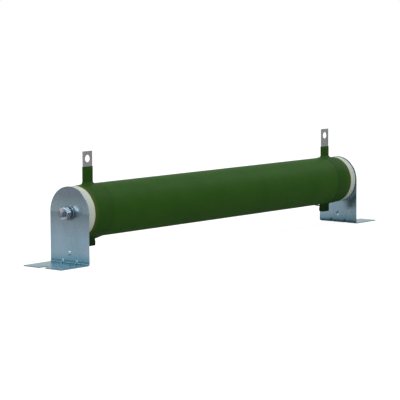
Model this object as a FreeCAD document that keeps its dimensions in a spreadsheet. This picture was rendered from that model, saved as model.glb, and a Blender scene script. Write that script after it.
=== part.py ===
import FreeCAD, Part
import os
from enum import IntEnum
import Sketcher
from FreeCAD import Placement, Rotation, Vector

# Tubular braking resistor on two sheet brackets, in millimetres.
# X runs along the tube, Z is up, and the origin is on the floor under the middle of the tube.
# Every sub-part that comes in a pair is drawn for the right-hand end (+X), and the left-hand one
# is the same drawing turned half a turn about Z.

SIZES = [
    # Ceramic tube
    ("tube_length", 500, "ceramic tube, end to end"),
    ("tube_diameter", 59, "ceramic tube, outside"),
    ("tube_bore", 43, "ceramic tube, inside"),
    ("tube_edge", 0.8, "chamfer on the ends of the tube"),
    # Winding and its ends
    ("wire_diameter", 0.6, "resistance wire, wound close on the tube"),
    ("winding_gap", 5, "bare tube between the last turn and the strap"),
    ("lead_diameter", 0.8, "end of the winding, led out to the ear"),
    ("lead_run", 14, "length of that lead along the tube"),
    ("lead_drop", 2.6, "how far the lead stands off the winding at the ear"),
    ("lead_cover_run", 17.5, "length along the tube of the coat that covers the lead"),
    # Terminal straps
    ("strap_width", 15, "strap, along the tube"),
    ("strap_thickness", 0.6, "strap, one layer; lug and ear are two layers"),
    ("strap_play", 0.05, "radial play between the tube and the strap's ring"),
    ("strap_inset", 25.5, "middle of the strap from the end of the tube"),
    ("lug_rise", 68, "top of the lug above the axis"),
    ("lug_hole", 8.5, "hole for an M8 connection screw"),
    ("lug_hole_inset", 8.5, "middle of the hole below the top of the lug"),
    ("lug_corner", 1, "corner radius at the top of the lug"),
    ("ear_drop", 40.2, "bottom of the pinched ear below the axis"),
    ("fold_radius", 0.8, "fold where the strap leaves the tube"),
    # Green coat
    ("bare_end", 7, "tube left bare at each end"),
    ("coat_on_tube", 0.35, "coat where it lies on the bare tube"),
    ("coat_on_strap", 0.3, "coat over the strap"),
    ("coat_on_wire", 0.4, "coat over the winding"),
    ("coat_lip", 0.5, "rounded edge of the coat at its ends"),
    ("coat_ramp", 2, "length over which the coat changes level"),
    ("lug_coat", 0.5, "coat round the lug"),
    ("lug_coat_rise_left", 50.5, "top of the coat on the left lug, above the axis"),
    ("lug_coat_rise_right", 45, "top of the coat on the right lug, above the axis"),
    ("ear_coat", 0.8, "coat round the ear"),
    ("lead_coat", 0.4, "coat round the lead"),
    ("root_flare", 4, "run-out of the coat along the tube at the root of a lug"),
    ("root_flare_side", 1.5, "the same, round the tube"),
    ("root_height", 4, "height of that run-out"),
    # End caps and gaskets
    ("cap_flange", 3, "flange of the ceramic end cap"),
    ("cap_spigot", 8, "spigot of the end cap, in the bore of the tube"),
    ("cap_clearance", 0.3, "radial clearance of the spigot in the bore, and of the rod in the cap"),
    ("cap_edge", 0.5, "chamfer on the flange"),
    ("gasket_thickness", 1, "mica gasket between cap and bracket"),
    ("gasket_diameter", 56, "mica gasket, outside"),
    # Brackets
    ("axis_height", 58, "axis of the tube above the floor"),
    ("sheet", 1, "bracket sheet"),
    ("bracket_margin", 0.5, "bracket beyond the tube's outside, on each side"),
    ("bend_radius", 1.5, "inside radius of the bend"),
    ("bend_relief", 0.001, "how much less than that radius and the sheet the outside radius is"),
    ("foot_length", 44, "foot, out from the upright's outer face"),
    ("foot_corner", 1, "corner radius of the foot"),
    ("slot_width", 10, "open slot for the mounting screw"),
    ("slot_depth", 9, "the same, in from the foot's outer edge"),
    ("rod_hole", 9, "hole in the upright for the rod"),
    ("pip_level", 12, "pressed pip above the floor"),
    ("pip_diameter", 5, "pressed pip, outside"),
    ("pip_height", 0.8, "how far the pip stands proud"),
    ("pip_rim", 0.08, "upright rim left at the foot of the pip"),
    ("pip_wall", 0.7, "wall round the dent behind the pip"),
    ("gusset_spacing", 22, "distance between the two pressed gussets"),
    ("gusset_width", 4.5, "pressed gusset, across"),
    ("gusset_leg", 4, "pressed gusset, up the upright and along the foot"),
    # Rod and fasteners
    ("rod_diameter", 8, "M8 threaded rod"),
    ("rod_overhang", 16, "rod beyond the upright's outer face"),
    ("rod_point", 1, "chamfer on the rod's ends"),
    ("washer_diameter", 17, "flat washer, outside"),
    ("washer_thickness", 1.6, "flat washer"),
    ("spring_diameter", 13.5, "spring washer, outside"),
    ("spring_thickness", 2, "spring washer"),
    ("spring_gap", 1.2, "cut through the spring washer"),
    ("nut_flats", 13, "M8 nut across flats"),
    ("nut_face", 12.35, "diameter of its end faces, inside the turned corners"),
    ("nut_turn", 18, "degrees that the nuts are turned by from a corner on top"),
    ("nut_height", 6.5, "M8 nut"),
    ("thread_clearance", 0.1, "radial clearance of nut and washers on the rod"),
]

SIDES = {"left": -1, "right": 1}


class Vertex(IntEnum):
    """A vertex of a sketch's curve, as constraints count them."""
    START = 1
    END = 2
    CENTRE = 3


class Axis(IntEnum):
    """A sketch's own axes, as constraints count them; the first one starts at the origin."""
    HORIZONTAL = -1


doc = FreeCAD.newDocument("braking_resistor")
sheet = doc.addObject("Spreadsheet::Sheet", "Sizes")
for row, (alias, size, meaning) in enumerate(SIZES, start=1):
    sheet.set(f"A{row}", meaning)
    sheet.set(f"B{row}", str(size))
    sheet.setAlias(f"B{row}", alias)
doc.recompute()

# Radii and places that several sub-parts share, as expressions of the sheet's cells
TUBE_RADIUS = "Sizes.tube_diameter / 2"
STRAP_SEAT = "(Sizes.tube_diameter / 2 + Sizes.strap_play)"
STRAP_RADIUS = "(Sizes.tube_diameter / 2 + Sizes.strap_play + Sizes.strap_thickness)"
WINDING_RADIUS = "(Sizes.tube_diameter / 2 + Sizes.wire_diameter)"
STRAP_PLACE = "(Sizes.tube_length / 2 - Sizes.strap_inset)"
STRAP_INNER = f"({STRAP_PLACE} - Sizes.strap_width / 2)"
STRAP_OUTER = f"({STRAP_PLACE} + Sizes.strap_width / 2)"
WINDING_END = f"({STRAP_INNER} - Sizes.winding_gap)"
COAT_END = "(Sizes.tube_length / 2 - Sizes.bare_end)"
GASKET_PLACE = "(Sizes.tube_length / 2 + Sizes.cap_flange)"
BRACKET_PLACE = "(Sizes.tube_length / 2 + Sizes.cap_flange + Sizes.gasket_thickness)"
BRACKET_WIDTH = "(Sizes.tube_diameter + 2 * Sizes.bracket_margin)"
WASHER_PLACE = f"({BRACKET_PLACE} + Sizes.sheet)"
SPRING_PLACE = f"({WASHER_PLACE} + Sizes.washer_thickness)"
NUT_PLACE = f"({SPRING_PLACE} + Sizes.spring_thickness)"
ROD_HALF = f"({WASHER_PLACE} + Sizes.rod_overhang)"


def new_body(label):
    """A PartDesign body whose label names the sub-part."""
    body = doc.addObject("PartDesign::Body", label)
    body.Label = label
    return body


def new_sketch(body, name, plane, offset=None):
    """A sketch on one of the body's own origin planes, moved along its normal by offset."""
    sketch = body.newObject("Sketcher::SketchObject", name)
    support = next(f for f in body.Origin.OriginFeatures if f.Role == plane)
    sketch.AttachmentSupport = (support, [""])
    sketch.MapMode = "FlatFace"
    if offset:
        sketch.setExpression("AttachmentOffset.Base.z", offset)
    return sketch


def value(expression):
    """The number that an expression of the sheet's cells has now."""
    return float(sheet.evalExpression(expression))


def pin_point(sketch, curve, vertex, x, y):
    """Holds a vertex of a sketch curve at expressions x and y from the sketch's origin."""
    for kind, expression in (("DistanceX", x), ("DistanceY", y)):
        index = sketch.addConstraint(
            Sketcher.Constraint(kind, Axis.HORIZONTAL, Vertex.START, curve, vertex, value(expression)))
        sketch.setExpression(f"Constraints[{index}]", expression)


def set_radius(sketch, curve, radius):
    """Binds the radius of a circle or arc to an expression."""
    index = sketch.addConstraint(Sketcher.Constraint("Radius", curve, value(radius)))
    sketch.setExpression(f"Constraints[{index}]", radius)


def draw_polygon(sketch, corners):
    """A closed outline of straight lines through corners, each a pair of expressions."""
    points = [Vector(value(x), value(y), 0) for x, y in corners]
    count = len(points)
    for index in range(count):
        sketch.addGeometry(Part.LineSegment(points[index], points[(index + 1) % count]), False)
    for index in range(count):
        sketch.addConstraint(
            Sketcher.Constraint("Coincident", index, Vertex.END, (index + 1) % count, Vertex.START))
    for index, (x, y) in enumerate(corners):
        pin_point(sketch, index, Vertex.START, x, y)


def draw_circle(sketch, x, y, radius):
    """A circle at expressions x and y."""
    circle = Part.Circle(Vector(value(x), value(y), 0), Vector(0, 0, 1), value(radius))
    curve = sketch.addGeometry(circle, False)
    pin_point(sketch, curve, Vertex.CENTRE, x, y)
    set_radius(sketch, curve, radius)


def draw_tongue(sketch, x, y, radius, root, along):
    """A half circle about x, y and two straight sides from it to root, along sketch axis x or y."""
    centre = Vector(value(x), value(y), 0)
    size = value(radius)
    reach = value(root) - (centre.x if along == "x" else centre.y)
    ahead = Vector(reach, 0, 0) if along == "x" else Vector(0, reach, 0)
    across = Vector(-ahead.y, ahead.x, 0).normalize() * size
    first, second = centre + across, centre - across
    tip = centre - Vector(ahead).normalize() * size
    arc = sketch.addGeometry(Part.Arc(first, tip, second), False)
    side_a = sketch.addGeometry(Part.LineSegment(first, first + ahead), False)
    side_b = sketch.addGeometry(Part.LineSegment(second, second + ahead), False)
    base = sketch.addGeometry(Part.LineSegment(first + ahead, second + ahead), False)
    arc_start = sketch.Geometry[arc].StartPoint
    forward = (arc_start - first).Length < (arc_start - second).Length
    first_end = Vertex.START if forward else Vertex.END
    second_end = Vertex.END if forward else Vertex.START
    level, upright = ("Vertical", "Horizontal") if along == "x" else ("Horizontal", "Vertical")
    for rule in (
            ("Coincident", arc, first_end, side_a, Vertex.START),
            ("Coincident", arc, second_end, side_b, Vertex.START),
            ("Coincident", side_a, Vertex.END, base, Vertex.START),
            ("Coincident", side_b, Vertex.END, base, Vertex.END),
            (level, arc, Vertex.CENTRE, arc, Vertex.START),
            (level, arc, Vertex.CENTRE, arc, Vertex.END),
            (upright, side_a),
            (upright, side_b),
            (level, base)):
        sketch.addConstraint(Sketcher.Constraint(*rule))
    pin_point(sketch, arc, Vertex.CENTRE, x, y)
    set_radius(sketch, arc, radius)
    kind = "DistanceX" if along == "x" else "DistanceY"
    index = sketch.addConstraint(Sketcher.Constraint(
        kind, Axis.HORIZONTAL, Vertex.START, base, Vertex.START, value(root)))
    sketch.setExpression(f"Constraints[{index}]", root)


def add_pad(body, sketch, length, symmetric=False, backwards=False):
    """Pads a sketch by the expression length."""
    pad = body.newObject("PartDesign::Pad", f"{sketch.Name}_pad")
    pad.Profile = sketch
    pad.SideType = "Symmetric" if symmetric else "One side"
    pad.Reversed = backwards
    pad.setExpression("Length", length)
    sketch.Visibility = False
    return pad


def add_pocket(body, sketch, length, symmetric=False, backwards=False):
    """Cuts a sketch by the expression length, and makes sure that it removed something."""
    doc.recompute()
    before = body.Shape.Volume
    pocket = body.newObject("PartDesign::Pocket", f"{sketch.Name}_pocket")
    pocket.Profile = sketch
    pocket.SideType = "Symmetric" if symmetric else "One side"
    pocket.Reversed = backwards
    pocket.setExpression("Length", length)
    doc.recompute()
    if not body.Shape.Volume < before:
        raise RuntimeError(f"{pocket.Name} cuts nothing")
    return pocket


def add_turned(body, sketch, axis="H_Axis"):
    """Turns a sketch a full circle about its horizontal axis, or about one of its edges."""
    turned = body.newObject("PartDesign::Revolution", f"{sketch.Name}_turned")
    turned.Profile = sketch
    turned.ReferenceAxis = (sketch, [axis])
    turned.Angle = 360
    return turned


def add_loft(body, first, second):
    """A straight-sided loft from one sketch to another."""
    loft = body.newObject("PartDesign::AdditiveLoft", f"{first.Name}_loft")
    loft.Profile = first
    loft.Sections = [second]
    loft.Ruled = True
    return loft


def picked_edges(body, wanted):
    """The body's tip and the names of its edges that wanted picks."""
    doc.recompute()
    tip = body.Tip
    names = [f"Edge{n}" for n, edge in enumerate(tip.Shape.Edges, start=1) if wanted(edge)]
    if not names:
        raise RuntimeError(f"no edge to dress on {body.Label}")
    return tip, names


def add_rounding(body, radius, wanted):
    """Fillets the edges that wanted picks."""
    base = picked_edges(body, wanted)
    fillet = body.newObject("PartDesign::Fillet", f"{body.Name}_rounding")
    fillet.Base = base
    fillet.setExpression("Radius", radius)
    return fillet


def add_chamfer(body, size, wanted):
    """Chamfers the edges that wanted picks."""
    base = picked_edges(body, wanted)
    chamfer = body.newObject("PartDesign::Chamfer", f"{body.Name}_chamfer")
    chamfer.Base = base
    chamfer.setExpression("Size", size)
    return chamfer


def same(length, wanted, slack=0.0005):
    """Whether two lengths agree, rounding errors aside."""
    return abs(length - wanted) < slack


def runs_along(edge, axis):
    """Whether a straight edge is parallel to the vector axis."""
    if not isinstance(edge.Curve, Part.Line):
        return False
    direction = edge.Vertexes[-1].Point - edge.Vertexes[0].Point
    return same(direction.cross(axis).Length, 0)


def is_near(edge, **place):
    """Whether the middle of an edge has the coordinates given, such as x=1.0."""
    middle = edge.valueAt((edge.FirstParameter + edge.LastParameter) / 2)
    return all(same(getattr(middle, axis), wanted) for axis, wanted in place.items())


def place_at(thing, side, distance, height="Sizes.axis_height"):
    """Puts a sub-part drawn for the right-hand end at its own end, distance from the middle."""
    thing.Placement = Placement(Vector(), Rotation(Vector(0, 0, 1), 0 if side == "right" else 180))
    thing.setExpression("Placement.Base.x", f"{SIDES[side]} * {distance}")
    thing.setExpression("Placement.Base.z", height)


def turned_ring(label, inner, outer, start, length, edge=None):
    """A body turned about X: a ring from start along X, with an optional chamfer outside."""
    body = new_body(label)
    sketch = new_sketch(body, f"{label}_section", "XZ_Plane")
    if edge is None:
        corners = [(start, outer), (f"{start} + {length}", outer)]
    else:
        corners = [
            (start, f"{outer} - {edge}"), (f"{start} + {edge}", outer),
            (f"{start} + {length} - {edge}", outer), (f"{start} + {length}", f"{outer} - {edge}")]
    draw_polygon(sketch, [(start, inner), *corners, (f"{start} + {length}", inner)])
    add_turned(body, sketch)
    return body


# Ceramic tube
def make_tube():
    """The ceramic tube that carries the winding."""
    tube = turned_ring("ceramic_tube", "Sizes.tube_bore / 2", TUBE_RADIUS,
                       "-Sizes.tube_length / 2", "Sizes.tube_length", "Sizes.tube_edge")
    tube.setExpression("Placement.Base.z", "Sizes.axis_height")
    return tube


# Winding: turns that touch, so they are one sleeve as thick as the wire
def make_winding():
    """The close-wound resistance wire, between the two straps."""
    winding = turned_ring("resistance_winding", TUBE_RADIUS, WINDING_RADIUS,
                          f"-{WINDING_END}", f"2 * {WINDING_END}")
    winding.setExpression("Placement.Base.z", "Sizes.axis_height")
    return winding


# Terminal: one strip, folded round the tube and doubled into a lug above and an ear below.
# The band and the lug are two solids of that strip, parted just above the fold.
NECK_TOP = f"({STRAP_RADIUS} + 2 * Sizes.fold_radius)"
STRIP_MIDDLE = f"({STRAP_SEAT} + Sizes.strap_thickness / 2)"


def make_band(side):
    """The strip's ring round the tube, with the neck of the lug and the pinched ear."""
    body = new_body(f"terminal_band_{side}")
    layer = "Sizes.strap_thickness"
    ring = new_sketch(body, "ring", "YZ_Plane")
    draw_circle(ring, "0", "0", STRAP_SEAT)
    draw_circle(ring, "0", "0", STRAP_RADIUS)
    add_pad(body, ring, "Sizes.strap_width", symmetric=True)
    neck = new_sketch(body, "neck", "YZ_Plane")
    draw_polygon(neck, [(f"-{layer}", STRIP_MIDDLE), (layer, STRIP_MIDDLE), (layer, NECK_TOP),
                        (f"-{layer}", NECK_TOP)])
    add_pad(body, neck, "Sizes.strap_width", symmetric=True)
    ear = new_sketch(body, "ear", "YZ_Plane")
    draw_tongue(ear, "0", f"-(Sizes.ear_drop - {layer})", layer, f"-{STRIP_MIDDLE}", "y")
    add_pad(body, ear, "Sizes.strap_width", symmetric=True)
    thickness = value(layer)
    radius = value(STRAP_RADIUS)
    add_rounding(body, "Sizes.fold_radius", lambda edge: (
        runs_along(edge, Vector(1, 0, 0)) and same(abs(edge.CenterOfMass.y), thickness)
        and same(edge.CenterOfMass.Length, radius)))
    place_at(body, side, STRAP_PLACE)
    return body


def make_lug(side):
    """The doubled strip above the band, with the hole for the connection screw."""
    body = new_body(f"terminal_lug_{side}")
    lug = new_sketch(body, "lug", "YZ_Plane")
    layer = "Sizes.strap_thickness"
    draw_polygon(lug, [(f"-{layer}", NECK_TOP), (layer, NECK_TOP), (layer, "Sizes.lug_rise"),
                       (f"-{layer}", "Sizes.lug_rise")])
    add_pad(body, lug, "Sizes.strap_width", symmetric=True)
    top = value("Sizes.lug_rise")
    add_rounding(body, "Sizes.lug_corner", lambda edge: (
        runs_along(edge, Vector(0, 1, 0)) and is_near(edge, z=top)))
    hole = new_sketch(body, "lug_hole", "XZ_Plane")
    draw_circle(hole, "0", "Sizes.lug_rise - Sizes.lug_hole_inset", "Sizes.lug_hole / 2")
    add_pocket(body, hole, "4 * Sizes.strap_thickness", symmetric=True)
    place_at(body, side, STRAP_PLACE)
    return body


# Lead: the end of the winding, led down to the ear's inboard edge
def slanted_rod(label, radius, start):
    """A round rod that slopes from the winding down into the ear, from start along the tube."""
    body = new_body(label)
    sketch = new_sketch(body, f"{label}_section", "XZ_Plane")
    slope = "Sizes.lead_drop / Sizes.lead_run"
    length = "sqrt(Sizes.lead_run ^ 2 + Sizes.lead_drop ^ 2)"
    ear_edge = "-Sizes.strap_width / 2"
    lead_start = f"({ear_edge} - Sizes.lead_run)"
    end = f"({ear_edge} + Sizes.strap_thickness)"
    level = f"-({WINDING_RADIUS} + Sizes.lead_diameter / 2)"
    start_level = f"({level} - ({start} - {lead_start}) * {slope})"
    end_level = f"({level} - ({end} - {lead_start}) * {slope})"
    aside = f"({radius}) * Sizes.lead_drop / {length}"
    up = f"({radius}) * Sizes.lead_run / {length}"
    draw_polygon(sketch, [
        (start, start_level), (end, end_level),
        (f"{end} + {aside}", f"{end_level} + {up}"), (f"{start} + {aside}", f"{start_level} + {up}")])
    add_turned(body, sketch, "Edge1")
    return body


def make_lead(side, band):
    """The lead wire, drawn about the strap's middle and ended at the band's ear."""
    rod = slanted_rod(f"lead_rod_{side}", "Sizes.lead_diameter / 2", "(-Sizes.strap_width / 2 - Sizes.lead_run)")
    place_at(rod, side, STRAP_PLACE)
    lead = doc.addObject("Part::Cut", f"winding_lead_{side}")
    lead.Base = rod
    lead.Tool = band
    return lead


# Green coat
def coat_section_half():
    """Corners of the coat from its outer surface at the winding's end round to its inner one."""
    on_tube = f"{TUBE_RADIUS} + Sizes.coat_on_tube"
    on_strap = f"{STRAP_RADIUS} + Sizes.coat_on_strap"
    on_wire = f"{WINDING_RADIUS} + Sizes.coat_on_wire"
    lip = "Sizes.coat_lip"
    return [
        (WINDING_END, on_wire),
        (f"{STRAP_INNER} - Sizes.coat_ramp", on_tube),
        (f"{STRAP_INNER} - Sizes.coat_on_strap", on_strap),
        (f"{STRAP_OUTER} + Sizes.coat_on_strap", on_strap),
        (f"{STRAP_OUTER} + Sizes.coat_ramp", on_tube),
        (f"{COAT_END} - {lip}", on_tube),
        (COAT_END, TUBE_RADIUS),
        (STRAP_OUTER, TUBE_RADIUS),
        (STRAP_OUTER, STRAP_SEAT),
        (STRAP_INNER, STRAP_SEAT),
        (STRAP_INNER, TUBE_RADIUS),
    ]


def make_coat_shell():
    """The coat on the tube alone, turned about X."""
    body = new_body("coat_shell")
    half = coat_section_half()
    mirrored = [(f"-({x})", y) for x, y in reversed(half)]
    sketch = new_sketch(body, "coat_section", "XZ_Plane")
    draw_polygon(sketch, mirrored + half)
    add_turned(body, sketch)
    body.setExpression("Placement.Base.z", "Sizes.axis_height")
    return body


def draw_box(sketch, half_x, half_y):
    """A rectangle about the sketch's origin."""
    draw_polygon(sketch, [(f"-({half_x})", f"-({half_y})"), (half_x, f"-({half_y})"),
                          (half_x, half_y), (f"-({half_x})", half_y)])


def add_sleeve(body, name, sign, skin, reach):
    """The coat round a lug (sign 1) or an ear (sign -1), with its run-out at the root."""
    root = f"{sign} * ({TUBE_RADIUS} + Sizes.coat_on_tube / 2)"
    shoulder = f"{root} + {sign} * Sizes.root_height"
    half_x = f"Sizes.strap_width / 2 + {skin}"
    half_y = f"Sizes.strap_thickness + {skin}"
    core = new_sketch(body, f"{name}_core", "XY_Plane", root)
    draw_box(core, half_x, half_y)
    add_pad(body, core, f"{reach} - ({TUBE_RADIUS} + Sizes.coat_on_tube / 2)",
            backwards=sign < 0)
    low = new_sketch(body, f"{name}_root", "XY_Plane", root)
    draw_box(low, f"{half_x} + Sizes.root_flare", f"{half_y} + Sizes.root_flare_side")
    high = new_sketch(body, f"{name}_shoulder", "XY_Plane", shoulder)
    draw_box(high, half_x, half_y)
    add_loft(body, low, high)


def make_coat_sleeves(side):
    """The coat round the lug, the ear and the lead of one terminal."""
    above = new_body(f"lug_coat_{side}")
    add_sleeve(above, "lug_sleeve", 1, "Sizes.lug_coat", f"Sizes.lug_coat_rise_{side}")
    below = new_body(f"ear_coat_{side}")
    add_sleeve(below, "ear_sleeve", -1, "Sizes.ear_coat", "Sizes.ear_drop + Sizes.ear_coat")
    along = slanted_rod(f"lead_coat_{side}", "Sizes.lead_diameter / 2 + Sizes.lead_coat",
                        "(-Sizes.strap_width / 2 - Sizes.lead_cover_run)")
    for body in (above, below, along):
        place_at(body, side, STRAP_PLACE)
    return [above, below, along]


def make_coat(inner_parts):
    """The whole coat: its outer form less every piece that it covers."""
    forms = [make_coat_shell()]
    for side in SIDES:
        forms += make_coat_sleeves(side)
    outer = doc.addObject("Part::MultiFuse", "coat_outer_form")
    outer.Shapes = forms
    covered = doc.addObject("Part::Compound", "covered_parts")
    covered.Links = inner_parts
    coat = doc.addObject("Part::Cut", "green_coat")
    coat.Label = "green_coat"
    coat.Base = outer
    coat.Tool = covered
    return coat


# End caps and gaskets
def make_end_cap(side):
    """The ceramic cap: a flange on the tube's end and a spigot in its bore."""
    body = new_body(f"end_cap_{side}")
    bore = "Sizes.rod_diameter / 2 + Sizes.cap_clearance"
    spigot = "Sizes.tube_bore / 2 - Sizes.cap_clearance"
    edge = "Sizes.cap_edge"
    sketch = new_sketch(body, "cap_section", "XZ_Plane")
    draw_polygon(sketch, [
        ("-Sizes.cap_spigot", bore),
        ("-Sizes.cap_spigot", spigot),
        ("0", spigot),
        ("0", TUBE_RADIUS),
        (f"Sizes.cap_flange - {edge}", TUBE_RADIUS),
        ("Sizes.cap_flange", f"{TUBE_RADIUS} - {edge}"),
        ("Sizes.cap_flange", bore)])
    add_turned(body, sketch)
    place_at(body, side, "Sizes.tube_length / 2")
    return body


def make_gasket(side):
    """The mica gasket between cap and bracket."""
    body = turned_ring(f"gasket_{side}", "Sizes.rod_hole / 2", "Sizes.gasket_diameter / 2",
                       "0", "Sizes.gasket_thickness")
    place_at(body, side, GASKET_PLACE)
    return body


# Brackets
def add_gussets(body):
    """Two gussets pressed into the bend from its convex side."""
    sheet_size, leg = "Sizes.sheet", "Sizes.gusset_leg"
    ridge = f"{sheet_size} + {leg}"
    hollow = f"(2 * {sheet_size} + {leg} - {sheet_size} * sqrt(2))"
    outside = f"-{sheet_size}"
    for number, sign in enumerate((-1, 1), start=1):
        offset = f"{sign} * Sizes.gusset_spacing / 2"
        web = new_sketch(body, f"gusset_{number}", "XZ_Plane", offset)
        draw_polygon(web, [
            (f"{sheet_size} / 2", f"{sheet_size} / 2"), (ridge, f"{sheet_size} / 2"),
            (ridge, sheet_size), (sheet_size, ridge), (f"{sheet_size} / 2", ridge)])
        add_pad(body, web, "Sizes.gusset_width", symmetric=True)
    add_rounding(body, "Sizes.sheet", lambda edge: (
        runs_along(edge, Vector(1, 0, -1)) and edge.Length > value(leg)))
    for number, sign in enumerate((-1, 1), start=1):
        offset = f"{sign} * Sizes.gusset_spacing / 2"
        dent = new_sketch(body, f"gusset_dent_{number}", "XZ_Plane", offset)
        draw_polygon(dent, [
            (outside, outside), (f"{hollow} + {sheet_size}", outside),
            (outside, f"{hollow} + {sheet_size}")])
        add_pocket(body, dent, "Sizes.gusset_width - 2 * Sizes.sheet", symmetric=True)


def make_bracket(side):
    """The bracket: a round-topped upright, a bend and a foot that turns outwards."""
    body = new_body(f"bracket_{side}")
    sheet_size = "Sizes.sheet"
    bend_top = f"({sheet_size} + Sizes.bend_radius)"
    foot_end = f"({sheet_size} + Sizes.foot_length)"
    foot = new_sketch(body, "foot", "XZ_Plane")
    draw_polygon(foot, [
        ("0", "0"), (foot_end, "0"), (foot_end, sheet_size), (sheet_size, sheet_size),
        (sheet_size, bend_top), ("0", bend_top)])
    add_pad(body, foot, BRACKET_WIDTH, symmetric=True)
    upright = new_sketch(body, "upright", "YZ_Plane")
    draw_tongue(upright, "0", "Sizes.axis_height", f"{BRACKET_WIDTH} / 2", bend_top, "y")
    add_pad(body, upright, sheet_size)
    across = Vector(0, 1, 0)
    add_rounding(body, "Sizes.bend_radius", lambda edge: (
        runs_along(edge, across) and is_near(edge, x=value(sheet_size), z=value(sheet_size))))
    add_rounding(body, "Sizes.bend_radius + Sizes.sheet - Sizes.bend_relief", lambda edge: (
        runs_along(edge, across) and is_near(edge, x=0, z=0)))
    add_rounding(body, "Sizes.foot_corner", lambda edge: (
        runs_along(edge, Vector(0, 0, 1)) and is_near(edge, x=value(foot_end))))
    add_gussets(body)
    pip = new_sketch(body, "pip", "YZ_Plane", sheet_size)
    draw_circle(pip, "0", "Sizes.pip_level", "Sizes.pip_diameter / 2")
    add_pad(body, pip, "Sizes.pip_height")
    proud = value(f"{sheet_size} + Sizes.pip_height")
    add_chamfer(body, "Sizes.pip_height - Sizes.pip_rim", lambda edge: (
        isinstance(edge.Curve, Part.Circle) and is_near(edge, x=proud)
        and same(edge.Curve.Radius, value("Sizes.pip_diameter / 2"))))
    dent = new_sketch(body, "pip_dent", "YZ_Plane")
    draw_circle(dent, "0", "Sizes.pip_level", "Sizes.pip_diameter / 2 - Sizes.pip_wall")
    add_pocket(body, dent, "Sizes.pip_height", backwards=True)
    rod_hole = new_sketch(body, "rod_hole", "YZ_Plane")
    draw_circle(rod_hole, "0", "Sizes.axis_height", "Sizes.rod_hole / 2")
    add_pocket(body, rod_hole, "4 * Sizes.sheet", symmetric=True)
    slot = new_sketch(body, "slot", "XY_Plane")
    half_slot = "Sizes.slot_width / 2"
    draw_tongue(slot, f"{foot_end} - Sizes.slot_depth + {half_slot}", "0", half_slot,
                f"{foot_end} + {sheet_size}", "x")
    add_pocket(body, slot, "4 * Sizes.sheet", symmetric=True)
    place_at(body, side, BRACKET_PLACE, "0")
    return body


# Rod and fasteners
def make_rod():
    """The threaded rod through the tube; its thread is too fine to model here."""
    body = new_body("through_rod")
    point = "Sizes.rod_point"
    radius = "Sizes.rod_diameter / 2"
    sketch = new_sketch(body, "rod_section", "XZ_Plane")
    draw_polygon(sketch, [
        (f"-{ROD_HALF}", "0"), (f"-{ROD_HALF}", f"{radius} - {point}"),
        (f"-{ROD_HALF} + {point}", radius), (f"{ROD_HALF} - {point}", radius),
        (ROD_HALF, f"{radius} - {point}"), (ROD_HALF, "0")])
    add_turned(body, sketch)
    body.setExpression("Placement.Base.z", "Sizes.axis_height")
    return body


ON_ROD = "(Sizes.rod_diameter / 2 + Sizes.thread_clearance)"


def make_flat_washer(side):
    """The flat washer on the bracket."""
    body = turned_ring(f"flat_washer_{side}", ON_ROD, "Sizes.washer_diameter / 2", "0",
                       "Sizes.washer_thickness")
    place_at(body, side, WASHER_PLACE)
    return body


def make_spring_washer(side):
    """The split spring washer, pressed flat by the nut."""
    body = new_body(f"spring_washer_{side}")
    ring = new_sketch(body, "spring_ring", "YZ_Plane")
    draw_circle(ring, "0", "0", ON_ROD)
    draw_circle(ring, "0", "0", "Sizes.spring_diameter / 2")
    add_pad(body, ring, "Sizes.spring_thickness")
    cut = new_sketch(body, "spring_cut", "YZ_Plane")
    lean = "Sizes.spring_gap"
    draw_polygon(cut, [
        ("0", "0"), (lean, "0"), (f"2 * {lean}", "Sizes.spring_diameter"),
        (lean, "Sizes.spring_diameter")])
    add_pocket(body, cut, "4 * Sizes.spring_thickness", symmetric=True)
    place_at(body, side, SPRING_PLACE)
    return body


def make_nut(side):
    """The hexagon nut, its corners turned off at both faces."""
    body = new_body(f"nut_{side}")
    corner = "Sizes.nut_flats / 2 / cos(30)"
    outline = new_sketch(body, "hexagon", "YZ_Plane")
    draw_polygon(outline, [
        (f"{corner} * sin({angle} + Sizes.nut_turn)", f"{corner} * cos({angle} + Sizes.nut_turn)")
        for angle in range(0, 360, 60)])
    draw_circle(outline, "0", "0", ON_ROD)
    add_pad(body, outline, "Sizes.nut_height")
    face_radius = "Sizes.nut_face / 2"
    rim = "Sizes.nut_flats"
    depth = f"(({rim} - {face_radius}) * tan(30))"
    height = "Sizes.nut_height"
    for name, face, inward in (("inner", "0", depth), ("outer", height, f"{height} - {depth}")):
        sketch = new_sketch(body, f"{name}_chamfer", "XZ_Plane")
        draw_polygon(sketch, [(face, face_radius), (face, rim), (inward, rim)])
        groove = body.newObject("PartDesign::Groove", f"{name}_chamfer_cut")
        groove.Profile = sketch
        groove.ReferenceAxis = (sketch, ["H_Axis"])
        groove.Angle = 360
    place_at(body, side, NUT_PLACE)
    return body


# The whole resistor
tube = make_tube()
winding = make_winding()
bands = [make_band(side) for side in SIDES]
lugs = [make_lug(side) for side in SIDES]
leads = [make_lead(side, band) for side, band in zip(SIDES, bands)]
coat = make_coat([tube, winding, *bands, *lugs, *leads])
parts = [tube, winding, coat, make_rod(), *bands, *lugs, *leads]
for make in (make_end_cap, make_gasket, make_bracket, make_flat_washer, make_spring_washer, make_nut):
    parts += [make(side) for side in SIDES]
doc.recompute()

for item in doc.Objects:
    if "Invalid" in item.State or "Error" in item.State:
        raise RuntimeError(f"{item.Label} failed: {item.State}")
for part in parts:
    if part.Shape.isNull() or not part.Shape.isValid() or not part.Shape.Solids:
        raise RuntimeError(f"{part.Label} has no valid solid")

os.makedirs("parts", exist_ok=True)
for part in parts:
    part.Shape.exportStep(f"parts/{part.Label}.step")
    print(f"{part.Label}: {len(part.Shape.Solids)} solid, {part.Shape.Volume:.0f} mm3")
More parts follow.
